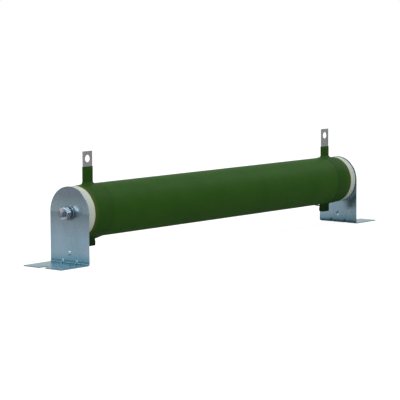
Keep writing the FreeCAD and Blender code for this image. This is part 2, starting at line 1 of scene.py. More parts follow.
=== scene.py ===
"""A tubular braking resistor, dressed for rendering on the frame of its own CAD solids.

Lengths are in millimetres until a mesh is finished, and X runs along the tube. Pieces that come in
pairs are built for the right-hand end (+X), and the left-hand ones are turned half a turn about Z.
The stage alone is laid out in metres.
"""
import logging
import math
from dataclasses import dataclass
from enum import Enum
from functools import partial
from typing import Callable, Dict, Iterable, List, Optional, Sequence, Tuple, Union

import bmesh
import bpy
from mathutils import Matrix, Vector, noise


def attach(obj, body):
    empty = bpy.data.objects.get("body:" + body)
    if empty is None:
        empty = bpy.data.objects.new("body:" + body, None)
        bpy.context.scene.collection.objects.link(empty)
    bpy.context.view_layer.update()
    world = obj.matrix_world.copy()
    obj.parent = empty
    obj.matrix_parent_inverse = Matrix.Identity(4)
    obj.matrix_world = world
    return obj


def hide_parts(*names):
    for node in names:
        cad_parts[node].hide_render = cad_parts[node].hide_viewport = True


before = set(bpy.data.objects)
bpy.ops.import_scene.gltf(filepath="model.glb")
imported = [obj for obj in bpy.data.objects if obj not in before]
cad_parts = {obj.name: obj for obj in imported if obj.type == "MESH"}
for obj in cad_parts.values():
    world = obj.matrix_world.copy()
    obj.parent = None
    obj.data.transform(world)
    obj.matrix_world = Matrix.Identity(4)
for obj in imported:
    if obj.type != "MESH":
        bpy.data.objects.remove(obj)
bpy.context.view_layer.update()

log = logging.getLogger("braking_resistor")

MM = 0.001
ROOT = "root"
FULL_TURN = 2.0 * math.pi
X_AXIS = Vector((1.0, 0.0, 0.0))
Y_AXIS = Vector((0.0, 1.0, 0.0))
Z_AXIS = Vector((0.0, 0.0, 1.0))
Point = Tuple[float, float]
Marks = Tuple[Tuple[float, str], ...]
# Vertices closer than this are one.
MERGE = 1e-4
# Edges bent further than this, in degrees, stay sharp in the light.
SHARP_DEG = 32.0
# Segments of a rounded corner, of a broken edge and of a punched hole.
CORNER_STEPS = 3
EDGE_STEPS = 2
HOLE_STEPS = 64
# Noise lies mostly between these values, which are spread over its whole range.
NOISE_LOW = 0.3
NOISE_HIGH = 0.7
# Fixes where the noise vectors are read, so that the coat comes out the same each time.
NOISE_SEED = 7
# The colour sockets of a Mix node, by number.
MIX_A = 6
MIX_B = 7
MIX_RESULT = 2


class Side(Enum):
    """The two ends of the resistor, by the way that they face along X."""

    LEFT = -1
    RIGHT = 1

    @property
    def label(self) -> str:
        """The end's name, as the CAD nodes have it."""
        return self.name.lower()

    def placed(self, distance: float, height: float) -> Matrix:
        """The matrix that puts a piece at this end.

        Args:
            distance: how far from the middle of the tube the piece's own origin lies.
            height: how far above the floor it lies.

        Returns:
            The matrix, in millimetres.
        """
        turn = Matrix.Rotation(0.0 if self is Side.RIGHT else math.pi, 4, "Z")
        return Matrix.Translation((self.value * distance, 0.0, height)) @ turn


@dataclass(frozen=True)
class Layout:
    """Sizes that several pieces share, as the CAD solids have them, and the places they lead to."""

    axis_height: float = 58.0
    tube_half: float = 250.0
    tube_radius: float = 29.5
    tube_bore: float = 21.5
    wire: float = 0.6
    strap_inset: float = 25.5
    strap_width: float = 15.0
    strap: float = 0.6
    ear_drop: float = 40.2
    bare_end: float = 7.0
    cap_flange: float = 3.0
    gasket: float = 1.0
    sheet: float = 1.0
    washer: float = 1.6
    spring_washer: float = 2.0
    rod_radius: float = 4.0
    rod_overhang: float = 16.0

    @property
    def strap_place(self) -> float:
        """The middle of the strap, from the middle of the tube."""
        return self.tube_half - self.strap_inset

    @property
    def strap_inner(self) -> float:
        """The strap's edge towards the middle of the tube."""
        return self.strap_place - self.strap_width / 2

    @property
    def strap_outer(self) -> float:
        """The strap's edge towards the end of the tube."""
        return self.strap_place + self.strap_width / 2

    @property
    def coat_end(self) -> float:
        """Where the coat ends and the bare tube begins."""
        return self.tube_half - self.bare_end

    @property
    def gasket_place(self) -> float:
        """The cap's outer face, on which the gasket lies."""
        return self.tube_half + self.cap_flange

    @property
    def bracket_place(self) -> float:
        """The gasket's outer face, on which the bracket lies."""
        return self.gasket_place + self.gasket

    @property
    def washer_place(self) -> float:
        """The bracket's outer face, on which the flat washer lies."""
        return self.bracket_place + self.sheet

    @property
    def nut_place(self) -> float:
        """The spring washer's outer face, on which the nut lies."""
        return self.washer_place + self.washer + self.spring_washer

    @property
    def rod_half(self) -> float:
        """The end of the rod."""
        return self.washer_place + self.rod_overhang


LAYOUT = Layout()
ON_AXIS = Matrix.Translation((0.0, 0.0, LAYOUT.axis_height))


# Colours and materials

def linear(code: str) -> Tuple[float, float, float, float]:
    """Turns an sRGB hex colour into linear light, by the sRGB curve.

    Args:
        code: the colour, such as "2C471E".

    Returns:
        Red, green, blue and an alpha of 1.
    """
    channels = [int(code[i:i + 2], 16) / 255.0 for i in (0, 2, 4)]
    light = [c / 12.92 if c <= 0.04045 else ((c + 0.055) / 1.055) ** 2.4 for c in channels]
    return (*light, 1.0)


def add_node(
    tree: bpy.types.NodeTree,
    kind: str,
    inputs: Optional[Dict[object, object]] = None,
    **settings: object,
) -> bpy.types.Node:
    """Adds a node with its settings, input values and links.

    Args:
        tree: the node tree.
        kind: the node's type, such as "ShaderNodeTexNoise".
        inputs: socket name or number to a value, or to an output socket to link from.
        settings: the node's own properties.

    Returns:
        The node.
    """
    node = tree.nodes.new(kind)
    for name, setting in settings.items():
        setattr(node, name, setting)
    for name, given in (inputs or {}).items():
        if isinstance(given, bpy.types.NodeSocket):
            tree.links.new(given, node.inputs[name])
        else:
            node.inputs[name].default_value = given
    return node


class Mapping(Enum):
    """How a pattern lies on a piece, by the scale of its coordinates."""

    # The same in every direction.
    EVEN = (1.0, 1.0, 1.0)
    # Drawn out to four times its size up the piece.
    ALONG_Z = (1.0, 1.0, 0.25)


class Along(Enum):
    """What a tint or a stain is measured along."""

    # The distance from the middle of the tube, towards either end.
    TUBE = "X"
    # The height above the floor.
    HEIGHT = "Z"

    def distance(self, tree: bpy.types.NodeTree, place: bpy.types.NodeSocket) -> bpy.types.NodeSocket:
        """The distance, in metres.

        Args:
            tree: the material's nodes.
            place: the object coordinates.

        Returns:
            The distance's output socket.
        """
        apart = add_node(tree, "ShaderNodeSeparateXYZ", {0: place})
        size = add_node(tree, "ShaderNodeMath", {0: apart.outputs[self.value]}, operation="ABSOLUTE")
        return size.outputs[0]


@dataclass(frozen=True)
class Tint:
    """A colour that changes with a distance and multiplies the finish's own."""

    along: Along
    marks: Marks

    def lay(
        self,
        tree: bpy.types.NodeTree,
        colour: bpy.types.NodeSocket,
        place: bpy.types.NodeSocket,
    ) -> bpy.types.NodeSocket:
        """Multiplies a colour by the tint.

        Args:
            tree: the material's nodes.
            colour: the colour so far.
            place: the object coordinates.

        Returns:
            The new colour's output socket.
        """
        first, last = self.marks[0][0], self.marks[-1][0]
        share = add_node(tree, "ShaderNodeMapRange", {
            "Value": self.along.distance(tree, place), "From Min": first * MM, "From Max": last * MM})
        ramp = add_node(tree, "ShaderNodeValToRGB", {0: share.outputs["Result"]})
        elements = ramp.color_ramp.elements
        while len(elements) < len(self.marks):
            elements.new(1.0)
        for element, (mark, code) in zip(elements, self.marks):
            element.position = (mark - first) / (last - first)
            element.color = linear(code)
        product = add_node(tree, "ShaderNodeMix", {
            "Factor": 1.0, MIX_A: colour, MIX_B: ramp.outputs["Color"]},
            data_type="RGBA", blend_type="MULTIPLY")
        return product.outputs[MIX_RESULT]


@dataclass(frozen=True)
class Stain:
    """A colour that the finish's own turns to between two distances."""

    code: str
    along: Along
    start: float
    end: float
    strength: float

    def lay(
        self,
        tree: bpy.types.NodeTree,
        colour: bpy.types.NodeSocket,
        place: bpy.types.NodeSocket,
    ) -> bpy.types.NodeSocket:
        """Mixes the stain into a colour.

        Args:
            tree: the material's nodes.
            colour: the colour so far.
            place: the object coordinates.

        Returns:
            The new colour's output socket.
        """
        share = add_node(tree, "ShaderNodeMapRange", {
            "Value": self.along.distance(tree, place), "From Min": self.start * MM,
            "From Max": self.end * MM, "To Min": 0.0, "To Max": self.strength})
        mix = add_node(tree, "ShaderNodeMix", {
            "Factor": share.outputs["Result"], MIX_A: colour, MIX_B: linear(self.code)},
            data_type="RGBA")
        return mix.outputs[MIX_RESULT]


@dataclass(frozen=True)
class Finish:
    """A surface finish: its Principled values, and how they vary over the piece.

    Slow patches mix the second colour into the first. A finer grain swings the roughness and
    raises the surface. A metal has no IOR of its own.
    """

    name: str
    slot: str
    colour: str
    second: str
    patch_mm: float
    grain_mm: float
    roughness: float
    roughness_swing: float = 0.06
    bump_mm: float = 0.02
    mixing: float = 0.5
    lie: Mapping = Mapping.EVEN
    metallic: float = 0.0
    ior: Optional[float] = None
    specular: float = 0.5
    layers: Tuple[Union[Tint, Stain], ...] = ()

    def base(
        self,
        tree: bpy.types.NodeTree,
        pattern: bpy.types.NodeSocket,
        place: bpy.types.NodeSocket,
    ) -> bpy.types.NodeSocket:
        """The base colour: two tones mixed by slow patches, under the finish's tints and stains.

        Args:
            tree: the material's nodes.
            pattern: the coordinates that the pattern lies on.
            place: the object coordinates.

        Returns:
            The colour's output socket.
        """
        patches = add_node(tree, "ShaderNodeTexNoise", {
            "Vector": pattern, "Scale": 1.0 / (self.patch_mm * MM), "Detail": 4.0, "Roughness": 0.55})
        share = add_node(tree, "ShaderNodeMapRange", {
            "Value": patches.outputs["Fac"], "From Min": NOISE_LOW, "From Max": NOISE_HIGH,
            "To Min": 0.0, "To Max": self.mixing})
        mix = add_node(tree, "ShaderNodeMix", {
            "Factor": share.outputs["Result"], MIX_A: linear(self.colour), MIX_B: linear(self.second)},
            data_type="RGBA")
        colour = mix.outputs[MIX_RESULT]
        for layer in self.layers:
            colour = layer.lay(tree, colour, place)
        return colour

    def build(self) -> bpy.types.Material:
        """Makes the material.

        Returns:
            The material, new each time.
        """
        material = bpy.data.materials.new(self.name)
        material.use_nodes = True
        tree = material.node_tree
        tree.nodes.clear()
        place = add_node(tree, "ShaderNodeTexCoord").outputs["Object"]
        pattern = add_node(tree, "ShaderNodeMapping", {
            "Vector": place, "Scale": self.lie.value}).outputs["Vector"]
        grain = add_node(tree, "ShaderNodeTexNoise", {
            "Vector": pattern, "Scale": 1.0 / (self.grain_mm * MM), "Detail": 3.0})
        rough = add_node(tree, "ShaderNodeMapRange", {
            "Value": grain.outputs["Fac"], "From Min": NOISE_LOW, "From Max": NOISE_HIGH,
            "To Min": self.roughness - self.roughness_swing,
            "To Max": self.roughness + self.roughness_swing})
        bump = add_node(tree, "ShaderNodeBump", {
            "Height": grain.outputs["Fac"], "Distance": self.bump_mm * MM, "Strength": 1.0})
        shader = add_node(tree, "ShaderNodeBsdfPrincipled", {
            "Base Color": self.base(tree, pattern, place),
            "Roughness": rough.outputs["Result"],
            "Normal": bump.outputs["Normal"],
            "Metallic": self.metallic,
            "Specular IOR Level": self.specular})
        if self.ior:
            shader.inputs["IOR"].default_value = self.ior
        out = add_node(tree, "ShaderNodeOutputMaterial")
        tree.links.new(shader.outputs["BSDF"], out.inputs["Surface"])
        return material


# Silicone-bonded coat, dipped and fired: a satin green with a faint orange peel. It is darker over the
# straps, with painted shade in the groove at their inner edge, and painted shade darkens it down the ears
# and the lead, below the tube. It turns brownish where it thins out.
FIRED_COAT = Finish(
    name="fired_silicone_coat", slot="green_coat", colour="275109", second="1E4802", patch_mm=35.0,
    grain_mm=2.2, mixing=0.8, roughness=0.58, ior=1.45, bump_mm=0.04, specular=0.12,
    layers=(
        # Darker over the straps; the darkest mark, at the strap's inner edge, is painted shade in the
        # groove there.
        Tint(Along.TUBE, (
            (208.0, "FFFFFF"), (213.0, "F8F8F4"), (216.0, "E0E4D8"), (219.0, "EAECE4"),
            (231.0, "E8ECE2"), (236.0, "F8F4F0"), (243.0, "FFF8F4"))),
        # Painted shade: darker down the ears and the lead, below the tube.
        Tint(Along.HEIGHT, ((17.0, "A8ACA8"), (22.5, "B0B4B0"), (27.5, "FFFFFF"))),
        Stain("4E502A", Along.TUBE, start=237.0, end=243.0, strength=0.7)))
# Unglazed porcelain, extruded and fired: matt and off-white, turning yellowish towards the coat's end.
TUBE_PORCELAIN = Finish(
    name="unglazed_porcelain_tube", slot="tube_ceramic", colour="C3CCBE", second="B8C0B2", patch_mm=12.0,
    grain_mm=0.8, roughness=0.7, roughness_swing=0.08, ior=1.52, bump_mm=0.04, specular=0.3,
    layers=(
        Tint(Along.TUBE, ((242.0, "F4F4E8"), (246.0, "FFFFFA"), (250.0, "FFFFFF"))),
        Stain("B8BA94", Along.TUBE, start=245.0, end=242.8, strength=0.7)))
# The same porcelain, pressed and fired as caps: matt, but cooler and cleaner.
CAP_PORCELAIN = Finish(
    name="unglazed_porcelain_cap", slot="cap_ceramic", colour="C2C8C8", second="B4BCC0", patch_mm=10.0,
    grain_mm=0.8, roughness=0.65, roughness_swing=0.08, ior=1.52, bump_mm=0.04, specular=0.3)
# Mica, pressed from small flakes: pale, mottled and a little glossier than the porcelain.
MICA = Finish(
    name="pressed_mica", slot="gasket_mica", colour="DAD6CA", second="C2BEB2", patch_mm=4.0,
    grain_mm=1.5, roughness=0.5, ior=1.56, bump_mm=0.03)
# Cold-rolled sheet, zinc plated and blue passivated: cool grey, with rolling streaks up the sheet. The
# streaks are coarser here than on real sheet, so that they show. Bands by height are painted reflection and
# shade: darker on the foot, darkest at the bend, bright low on the upright, with a painted reflection
# horizon at the nut's height, and darker towards the top.
ZINC_SHEET = Finish(
    name="blue_passivated_zinc_sheet", slot="bracket_zinc", colour="B8C8D2", second="ACBCC8",
    patch_mm=22.0, grain_mm=3.0, lie=Mapping.ALONG_Z, mixing=1.0, metallic=1.0, roughness=0.27,
    roughness_swing=0.03, bump_mm=0.003,
    layers=(
        # Painted reflection and shade, by height: foot, bend, bright middle, horizon at the nut's height,
        # darker top.
        Tint(Along.HEIGHT, (
            (0.0, "A2CCD0"), (1.1, "A2CCD0"), (1.5, "7FA4AC"), (2.9, "8CB0BC"), (5.0, "BCE0EC"),
            (12.0, "E0F2FA"), (30.0, "DCECF4"), (44.0, "D2DADE"), (57.0, "B8C0C0"), (59.5, "D4DCDA"),
            (68.0, "CCD4D4"), (78.0, "B8BCBE"), (88.0, "B8B8BE"))),))
# Steel nuts, zinc plated bright after they were tapped: a hard, cool gleam with faint mottling.
ZINC_FASTENER = Finish(
    name="bright_zinc_fastener", slot="fastener_zinc", colour="BCC6D0", second="9CA6B0", patch_mm=3.0,
    grain_mm=0.5, metallic=1.0, roughness=0.3, bump_mm=0.006)
# The same plating on punched and coiled washers, in a darker grey that is painted shade, for their place in
# shadow between the nut and the bracket.
SHADED_ZINC = Finish(
    name="shaded_zinc_washer", slot="fastener_zinc", colour="7C8892", second="626C76", patch_mm=3.0,
    grain_mm=0.5, metallic=1.0, roughness=0.3, bump_mm=0.006)
# The rod's rolled and plated thread, with grease and dust in it: a mottled middle grey.
ROLLED_THREAD = Finish(
    name="greasy_rolled_thread", slot="fastener_zinc", colour="88929C", second="5A626C", patch_mm=2.0,
    grain_mm=0.4, metallic=1.0, roughness=0.3, roughness_swing=0.08, bump_mm=0.006)
# Cold-drawn and tinned strip: dull silver, with drawing lines up the lug. The lines are coarser
# here than on real strip, so that they show.
TINNED_STRIP = Finish(
    name="tinned_strip", slot="terminal_metal", colour="A6A6A9", second="909293", patch_mm=6.0,
    grain_mm=0.7, lie=Mapping.ALONG_Z, mixing=1.0, metallic=1.0, roughness=0.42, roughness_swing=0.08,
    bump_mm=0.01)
# Nickel-chromium wire, drawn, wound and then oxidised in the firing: a matt grey-brown.
NICHROME = Finish(
    name="oxidised_nichrome_wire", slot="resistance_wire", colour="6A625A", second="57514B",
    patch_mm=5.0, grain_mm=0.6, metallic=1.0, roughness=0.45)


# Meshes

class Shape:
    """A mesh under construction, in millimetres."""

    def __init__(self) -> None:
        """Starts with nothing."""
        self.bm = bmesh.new()

    def outline(self, corners: Iterable[Point], rounding: float = 0.0) -> List[bmesh.types.BMEdge]:
        """Draws a closed outline in the XZ plane of a shape that is still empty.

        Args:
            corners: x and z of each corner, in order.
            rounding: radius that every corner gets.

        Returns:
            The outline's edges, in order.
        """
        face = self.bm.faces.new([self.bm.verts.new((x, 0.0, z)) for x, z in corners])
        if rounding:
            bmesh.ops.bevel(
                self.bm, geom=list(face.verts), offset=rounding, offset_type="OFFSET",
                segments=CORNER_STEPS, profile=0.5, affect="VERTICES", material=-1, clamp_overlap=True)
        face, = self.bm.faces
        edges = list(face.edges)
        bmesh.ops.delete(self.bm, geom=[face], context="FACES_ONLY")
        return edges

    def lathe(self, corners: Iterable[Point], steps: int, rounding: float = 0.0) -> "Shape":
        """Turns a closed outline about the X axis.

        Args:
            corners: x and radius of each corner, in order.
            steps: facets round the turn.
            rounding: radius that every corner gets.

        Returns:
            This shape.
        """
        edges = self.outline(corners, rounding)
        bmesh.ops.spin(
            self.bm, geom=[*self.bm.verts, *edges], cent=(0, 0, 0), axis=X_AXIS, angle=FULL_TURN,
            steps=steps, use_merge=True, use_duplicate=False)
        bmesh.ops.remove_doubles(self.bm, verts=self.bm.verts, dist=MERGE)
        return self

    def shift(self, move: Callable[[Vector], Vector]) -> "Shape":
        """Moves every vertex by a rule.

        Args:
            move: the new place of a vertex from its old one.

        Returns:
            This shape.
        """
        for vert in self.bm.verts:
            vert.co = move(vert.co)
        return self

    def finish(
        self,
        name: str,
        finish: Finish,
        place: Matrix,
        nodes: Sequence[str] = (),
        sharp_deg: float = SHARP_DEG,
    ) -> bpy.types.Object:
        """Turns the shape into a piece that rides on the frame.

        Args:
            name: the piece's name.
            finish: its finish.
            place: where it goes, in millimetres.
            nodes: the CAD nodes that it stands for.
            sharp_deg: edges bent further than this stay sharp.

        Returns:
            The piece.
        """
        self.bm.transform(Matrix.Scale(MM, 4) @ place)
        bmesh.ops.recalc_face_normals(self.bm, faces=self.bm.faces)
        for each in self.bm.faces:
            each.smooth = True
        mesh = bpy.data.meshes.new(name)
        self.bm.to_mesh(mesh)
        self.bm.free()
        mesh.set_sharp_from_angle(angle=math.radians(sharp_deg))
        piece = bpy.data.objects.new(name, mesh)
        bpy.context.scene.collection.objects.link(piece)
        mesh.materials.append(finish.build())
        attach(piece, ROOT)
        if nodes:
            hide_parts(*nodes)
        log.info("%s: %d faces", name, len(mesh.polygons))
        return piece


def made_of(kind: type, made: Iterable[object]) -> List[object]:
    """The elements of one kind among those that an operator made, in order."""
    return [element for element in made if isinstance(element, kind)]


def settle(piece: bpy.types.Object) -> None:
    """Makes the piece's modifiers part of its mesh, and keeps its flat faces flat in the light.

    Args:
        piece: the piece.
    """
    flat = piece.modifiers.new("flat_faces", "WEIGHTED_NORMAL")
    flat.keep_sharp = True
    bpy.context.view_layer.update()
    graph = bpy.context.evaluated_depsgraph_get()
    made = bpy.data.meshes.new_from_object(piece.evaluated_get(graph))
    made.set_sharp_from_angle(angle=math.radians(SHARP_DEG))
    piece.modifiers.clear()
    piece.data = made


@dataclass(frozen=True)
class Punch:
    """A round punch that goes through a sheet along the punch's own Z."""

    place: Matrix
    radius: float
    depth: float = 6.0

    def build(self) -> bpy.types.Object:
        """Makes the punch.

        Returns:
            The punch, as an object that is only there for the cut.
        """
        bm = bmesh.new()
        bmesh.ops.create_cone(
            bm, cap_ends=True, segments=HOLE_STEPS, radius1=self.radius, radius2=self.radius,
            depth=self.depth, matrix=self.place)
        bm.transform(Matrix.Scale(MM, 4))
        mesh = bpy.data.meshes.new("punch")
        bm.to_mesh(mesh)
        bm.free()
        tool = bpy.data.objects.new("punch", mesh)
        bpy.context.scene.collection.objects.link(tool)
        return tool


def thicken(
    piece: bpy.types.Object,
    thickness: float,
    edge: float,
    punch: Optional[Punch] = None,
    edge_deg: float = 50.0,
) -> None:
    """Gives a folded sheet its thickness, a punched hole and broken edges.

    Args:
        piece: the sheet's middle surface.
        thickness: the sheet's thickness.
        edge: width of the broken edges.
        punch: the punch that makes the hole.
        edge_deg: edges bent further than this are broken.
    """
    wall = piece.modifiers.new("wall", "SOLIDIFY")
    wall.thickness = thickness * MM
    wall.offset = 0.0
    wall.use_even_offset = True
    tool = punch.build() if punch else None
    if tool:
        cut = piece.modifiers.new("hole", "BOOLEAN")
        cut.operation = "DIFFERENCE"
        cut.solver = "EXACT"
        cut.object = tool
    broken = piece.modifiers.new("broken_edges", "BEVEL")
    broken.width = edge * MM
    broken.segments = EDGE_STEPS
    broken.limit_method = "ANGLE"
    broken.angle_limit = math.radians(edge_deg)
    settle(piece)
    if tool:
        bpy.data.objects.remove(tool)


def dress_node(node: str, finish: Finish) -> None:
    """Gives a CAD node a finish and leaves its mesh as it is.

    Args:
        node: the node's name.
        finish: its finish.
    """
    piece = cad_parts[node]
    piece.data.materials.clear()
    piece.data.materials.append(finish.build())
    log.info("%s: CAD node", node)


def copy_node(
    node: str,
    name: str,
    finish: Finish,
    edge: float,
    merge: float = 1e-3,
    flat_deg: float = 0.5,
    edge_deg: float = 40.0,
) -> bpy.types.Object:
    """A piece from a CAD node's own surface, merged, with its sharp edges broken.

    Args:
        node: the node's name.
        name: the piece's name.
        finish: its finish.
        edge: width of the broken edges.
        merge: vertices closer than this are one.
        flat_deg: faces that meet at less than this become one.
        edge_deg: edges bent further than this are broken.

    Returns:
        The piece.
    """
    shape = Shape()
    bm = shape.bm
    bm.from_mesh(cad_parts[node].data)
    bm.transform(Matrix.Scale(1.0 / MM, 4))
    bmesh.ops.remove_doubles(bm, verts=bm.verts, dist=merge)
    bmesh.ops.dissolve_limit(
        bm, angle_limit=math.radians(flat_deg), verts=bm.verts, edges=bm.edges,
        use_dissolve_boundaries=False)
    sharp = [e for e in bm.edges
             if len(e.link_faces) == 2 and e.calc_face_angle(0.0) > math.radians(edge_deg)]
    bmesh.ops.bevel(
        bm, geom=sharp, offset=edge, offset_type="OFFSET", segments=EDGE_STEPS, profile=0.5,
        affect="EDGES", material=-1, clamp_overlap=True)
    piece = shape.finish(name, finish, Matrix.Identity(4), [node])
    settle(piece)
    return piece


# Sub-assemblies

@dataclass
class CeramicTube:
    """The ceramic tube, of which only the bare ends show."""

    length_half: float = LAYOUT.tube_half
    radius: float = LAYOUT.tube_radius
    bore: float = LAYOUT.tube_bore
    edge: float = 0.8
    rounding: float = 0.15
    steps: int = 160

    def build(self) -> None:
        """Turns the tube with its broken end edges."""
        half, radius, bore, edge = self.length_half, self.radius, self.bore, self.edge
        corners = [
            (-half, bore), (-half, radius - edge), (-half + edge, radius), (half - edge, radius),
            (half, radius - edge), (half, bore)]
        shape = Shape().lathe(corners, self.steps, self.rounding)
        shape.finish("ceramic_tube_body", TUBE_PORCELAIN, ON_AXIS, ["ceramic_tube"])


@dataclass
class PressedBracket:
    """An upright and a foot pressed from one sheet, with a pip above two gussets.

    The sheet is drawn flat first. Its run is measured from the foot's side of the bend, and is
    negative up the upright. It is cut up coarsely where it stays flat, and finely where it is bent
    or pressed.
    """

    side: Side
    sheet: float = LAYOUT.sheet
    half_width: float = 30.0
    bend_radius: float = 1.5
    foot_end: float = 45.0
    foot_corner: float = 1.0
    slot_radius: float = 5.0
    slot_depth: float = 9.0
    rod_hole: float = 4.5
    pip_level: float = 12.0
    pip_radius: float = 2.5
    pip_height: float = 0.8
    pip_fullness: float = 0.8
    gusset_place: float = 11.0
    gusset_half: float = 2.4
    gusset_reach: float = 2.5
    edge: float = 0.12
    arch_steps: int = 40
    corner_steps: int = 5
    slot_steps: int = 16
    hole_steps: int = 32
    bend_steps: int = 8
    press_steps: int = 6
    upright_cut: float = 0.4
    upright_cuts: int = 33
    foot_cut: float = 0.5
    foot_cuts: int = 11
    coarse_runs: Sequence[float] = range(-84, 40, 4)
    coarse_columns: Sequence[float] = (3.0, 5.0, 7.0, 16.0, 19.0, 22.0, 25.0, 28.0)

    @property
    def bend(self) -> float:
        """Radius of the bend at the middle of the sheet."""
        return self.bend_radius + self.sheet / 2

    @property
    def corner(self) -> float:
        """The bend's centre, from the plate's inner face and from the floor."""
        return self.bend_radius + self.sheet

    @property
    def bent(self) -> float:
        """The run that the bend takes up."""
        return self.bend * math.pi / 2

    @property
    def rod_run(self) -> float:
        """The run at the rod's hole."""
        return self.corner - self.bent - LAYOUT.axis_height

    def rows(self) -> List[float]:
        """The runs at which the blank is cut across.

        Returns:
            The runs, coarse ones first.
        """
        low = -self.bent - self.upright_cut * self.upright_cuts
        high = self.foot_cut * self.foot_cuts
        runs = [run for run in self.coarse_runs if not low < run < high]
        runs += [-self.bent * step / self.bend_steps for step in range(self.bend_steps + 1)]
        runs += [self.foot_cut * step for step in range(1, self.foot_cuts + 1)]
        runs += [-self.bent - self.upright_cut * step for step in range(1, self.upright_cuts + 1)]
        return runs

    def columns(self) -> List[float]:
        """The distances from the middle at which the blank is cut along.

        Returns:
            The distances, coarse ones first.
        """
        steps = self.press_steps
        places = list(self.coarse_columns)
        places += [self.pip_radius * step / steps for step in range(1, steps + 1)]
        places += [self.gusset_place + self.gusset_half * step / steps for step in range(-steps, steps + 1)]
        return places

    def draw_half(self, bm: bmesh.types.BMesh) -> None:
        """Draws the half of the blank on the +Y side, with its half of the hole and the slot.

        Args:
            bm: the empty mesh to draw in.
        """
        foot = self.foot_end - self.corner
        notch = foot - self.slot_depth + self.slot_radius

        def line(last: bmesh.types.BMVert, run: float, across: float) -> bmesh.types.BMVert:
            """Draws a straight edge on from a vertex.

            Args:
                last: the vertex.
                run: the run at the edge's end.
                across: the distance from the middle at the edge's end.

            Returns:
                The vertex at the edge's end.
            """
            vert = bm.verts.new((run, across, 0.0))
            bm.edges.new((last, vert))
            return vert

        def arc(last: bmesh.types.BMVert, centre: Point, degrees: float, steps: int) -> bmesh.types.BMVert:
            """Draws an arc on from a vertex.

            Args:
                last: the vertex.
                centre: run and distance from the middle of the arc's centre.
                degrees: how far the arc turns.
                steps: its number of edges.

            Returns:
                The vertex at the arc's end.
            """
            made = bmesh.ops.spin(
                bm, geom=[last], cent=(*centre, 0.0), axis=Z_AXIS, angle=math.radians(degrees),
                steps=steps)["geom_last"]
            return made_of(bmesh.types.BMVert, made)[0]

        start = bm.verts.new((self.rod_run - self.half_width, 0.0, 0.0))
        last = arc(start, (self.rod_run, 0.0), -90, self.arch_steps)
        last = line(last, foot - self.foot_corner, self.half_width)
        last = arc(last, (foot - self.foot_corner, self.half_width - self.foot_corner), -90,
                   self.corner_steps)
        last = line(last, foot, self.slot_radius)
        last = line(last, notch, self.slot_radius)
        last = arc(last, (notch, 0.0), 90, self.slot_steps)
        last = line(last, self.rod_run + self.rod_hole, 0.0)
        last = arc(last, (self.rod_run, 0.0), 180, self.hole_steps)
        bm.edges.new((last, start))
        bmesh.ops.contextual_create(bm, geom=bm.edges)

    def blank(self) -> Shape:
        """Draws the flat blank, run along X, and cuts it up.

        Returns:
            The blank, which is a flat sheet without thickness.
        """
        shape = Shape()
        bm = shape.bm
        self.draw_half(bm)
        cuts = [(Vector((run, 0.0, 0.0)), X_AXIS) for run in self.rows()]
        cuts += [(Vector((0.0, across, 0.0)), Y_AXIS) for across in self.columns()]
        for spot, way in cuts:
            bmesh.ops.bisect_plane(
                bm, geom=[*bm.verts, *bm.edges, *bm.faces], dist=MERGE, plane_co=spot, plane_no=way)
        bmesh.ops.mirror(
            bm, geom=[*bm.verts, *bm.edges, *bm.faces], merge_dist=10 * MERGE, axis="Y")
        return shape

    def on_sheet(self, run: float) -> Tuple[Vector, Vector]:
        """Where a run comes to lie when the sheet is bent.

        Args:
            run: the distance along the sheet.

        Returns:
            The place on the sheet's middle, and the direction in which it is pressed out.
        """
        middle = self.sheet / 2
        if run >= 0.0:
            return Vector((self.corner + run, 0.0, middle)), Z_AXIS
        if run <= -self.bent:
            return Vector((middle, 0.0, self.corner - run - self.bent)), X_AXIS
        angle = -run / self.bend
        away = Vector((math.sin(angle), 0.0, math.cos(angle)))
        return Vector((self.corner, 0.0, self.corner)) - self.bend * away, away

    def press(self, spot: Vector) -> Vector:
        """Bends the sheet, and presses the pip and the gussets into it.

        Args:
            spot: run and distance from the middle of the blank.

        Returns:
            The place in the finished bracket.
        """
        run, across = spot.x, spot.y
        place, out = self.on_sheet(run)
        low, high = self.gusset_reach, -self.bent - self.gusset_reach
        aside = abs(abs(across) - self.gusset_place) / self.gusset_half
        if high < run < low and aside < 1.0:
            foot, top = self.on_sheet(low)[0], self.on_sheet(high)[0]
            ridge = foot.lerp(top, (low - run) / (low - high))
            place = place.lerp(ridge, 0.5 + 0.5 * math.cos(math.pi * aside))
        from_pip = math.hypot(place.z - self.pip_level, across) / self.pip_radius
        if run < -self.bent and from_pip < 1.0:
            place = place + out * self.pip_height * (1.0 - from_pip ** 2) ** self.pip_fullness
        return place + Vector((0.0, across, 0.0))

    def build(self) -> None:
        """Presses the bracket from its blank."""
        label = self.side.label
        piece = self.blank().shift(self.press).finish(
            f"zinc_bracket_{label}", ZINC_SHEET, self.side.placed(LAYOUT.bracket_place, 0.0),
            [f"bracket_{label}"])
        thicken(piece, self.sheet, self.edge)


